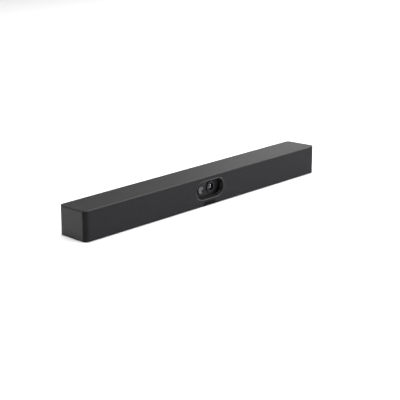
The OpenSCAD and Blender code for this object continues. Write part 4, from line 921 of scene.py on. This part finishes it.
class BAR_OT_feet(bpy.types.Operator):
    """Rubber feet with a rounded rim round a shallow field, and the other rubber pieces"""

    bl_idname = "bar.feet"
    bl_label = "Feet and rubber"

    def execute(self, context):
        s = context.scene.bar_socket
        # Silicone rubber: soft and matt, greyer where it is dusty
        rubber = rubbery("black_silicone_rubber", "#161616")
        low, high = corners("rubber_feet")
        length, width = FOOT
        r = s.foot_round
        profile = np.concatenate([
            [[0, high[2]]],
            arc((-r, r), r, 0, -90, 7),
            [[-FOOT_RIM, 0], [-FOOT_RIM - FOOT_FIELD, FOOT_FIELD]],
        ])
        pads = [
            carried(stadium(length, width, 24, 6), profile, lying_flat((x, y, 0)), closed=False)
            for x in (low[0] + length / 2, high[0] - length / 2)
            for y in (low[1] + width / 2, high[1] - width / 2)
        ]
        make_piece("rubber_feet_rounded", "bar", rubber, pads, ["rubber_feet"], 30)
        finish(rubber, "microphone_gaskets", "speaker_gaskets", "left_speaker_surround",
               "right_speaker_surround", "speaker_leads", "thermal_pads")
        return {"FINISHED"}


class BAR_OT_fasteners(bpy.types.Operator):
    """Screws of the case, boards, speakers and camera frame"""

    bl_idname = "bar.fasteners"
    bl_label = "Screws"

    def execute(self, context):
        # Black zinc plate: dark metal with soft glints
        finish(machined("black_zinc_screws", "#3a3a3d", 0.35), "case_screws", "camera_board_screws",
               "camera_frame_screws", "speaker_screws", "board_screws")
        return {"FINISHED"}


class BAR_OT_sound(bpy.types.Operator):
    """Speaker chassis, magnets and cones, and the microphones"""

    bl_idname = "bar.sound"
    bl_label = "Speakers and microphones"

    def execute(self, context):
        # Zinc-plated steel: grey and slightly dull
        finish(machined("zinc_plated_steel", "#9a9a9e", 0.35), "microphones", "left_speaker_basket",
               "right_speaker_basket", "left_speaker_magnet", "right_speaker_magnet")
        # Pressed paper: dry, mottled and fibrous
        finish(moulded("pressed_black_paper", "#1a1a1a", "#242424", 0.85, 0.2, 0.8, 0.05, 0.0),
               "left_speaker_cone", "right_speaker_cone")
        return {"FINISHED"}


class BAR_OT_boards(bpy.types.Operator):
    """Circuit boards, film cables and the heat sink"""

    bl_idname = "bar.boards"
    bl_label = "Boards"

    def execute(self, context):
        # Solder mask over etched copper: dark green gloss with faint lighter tracks
        finish(circuit_board("green_circuit_board", "#0f3a24", "#1c5a38"), "main_board", "camera_board",
               "left_microphone_board", "right_microphone_board", "wireless_antennas")
        # Extruded aluminium: pale, with marks drawn out along the fins
        finish(machined("extruded_aluminium", "#b8babd", 0.35, (1, 1, 0.05)), "heat_sink")
        # Polyimide film over copper: amber and satin
        finish(polished("amber_polyimide_film", "#a8702a", 0.3), "camera_ribbon", "microphone_ribbons")
        return {"FINISHED"}


OPERATORS = (
    BAR_OT_stage,
    BAR_OT_shells,
    BAR_OT_grille,
    BAR_OT_badge,
    BAR_OT_window,
    BAR_OT_lenses,
    BAR_OT_shutter,
    BAR_OT_sockets,
    BAR_OT_buttons,
    BAR_OT_inserts,
    BAR_OT_feet,
    BAR_OT_fasteners,
    BAR_OT_sound,
    BAR_OT_boards,
)


class BAR_PT_panel(bpy.types.Panel):
    """Lists the settings and the operators"""

    bl_label = "Camera Bar"
    bl_idname = "BAR_PT_panel"
    bl_space_type = "VIEW_3D"
    bl_region_type = "UI"
    bl_category = "Camera Bar"

    def draw(self, context):
        for name, group in SETTINGS.items():
            part = self.layout.box()
            part.label(text=group.__doc__)
            for setting in group.__annotations__:
                part.prop(getattr(context.scene, name), setting)
        for operator in OPERATORS:
            self.layout.operator(operator.bl_idname)


def register():
    """Registers the settings, the operators and the panel."""
    for cls in (*SETTINGS.values(), *OPERATORS, BAR_PT_panel):
        bpy.utils.register_class(cls)
    for name, group in SETTINGS.items():
        setattr(bpy.types.Scene, name, PointerProperty(type=group))


def unregister():
    """Takes back what register() does."""
    for name in SETTINGS:
        delattr(bpy.types.Scene, name)
    for cls in (BAR_PT_panel, *reversed(OPERATORS), *SETTINGS.values()):
        bpy.utils.unregister_class(cls)


def main():
    """Builds the scene, one operator after another."""
    register()
    for operator in OPERATORS:
        getattr(bpy.ops.bar, operator.bl_idname.split(".")[1])()


if __name__ == "__main__":
    main()
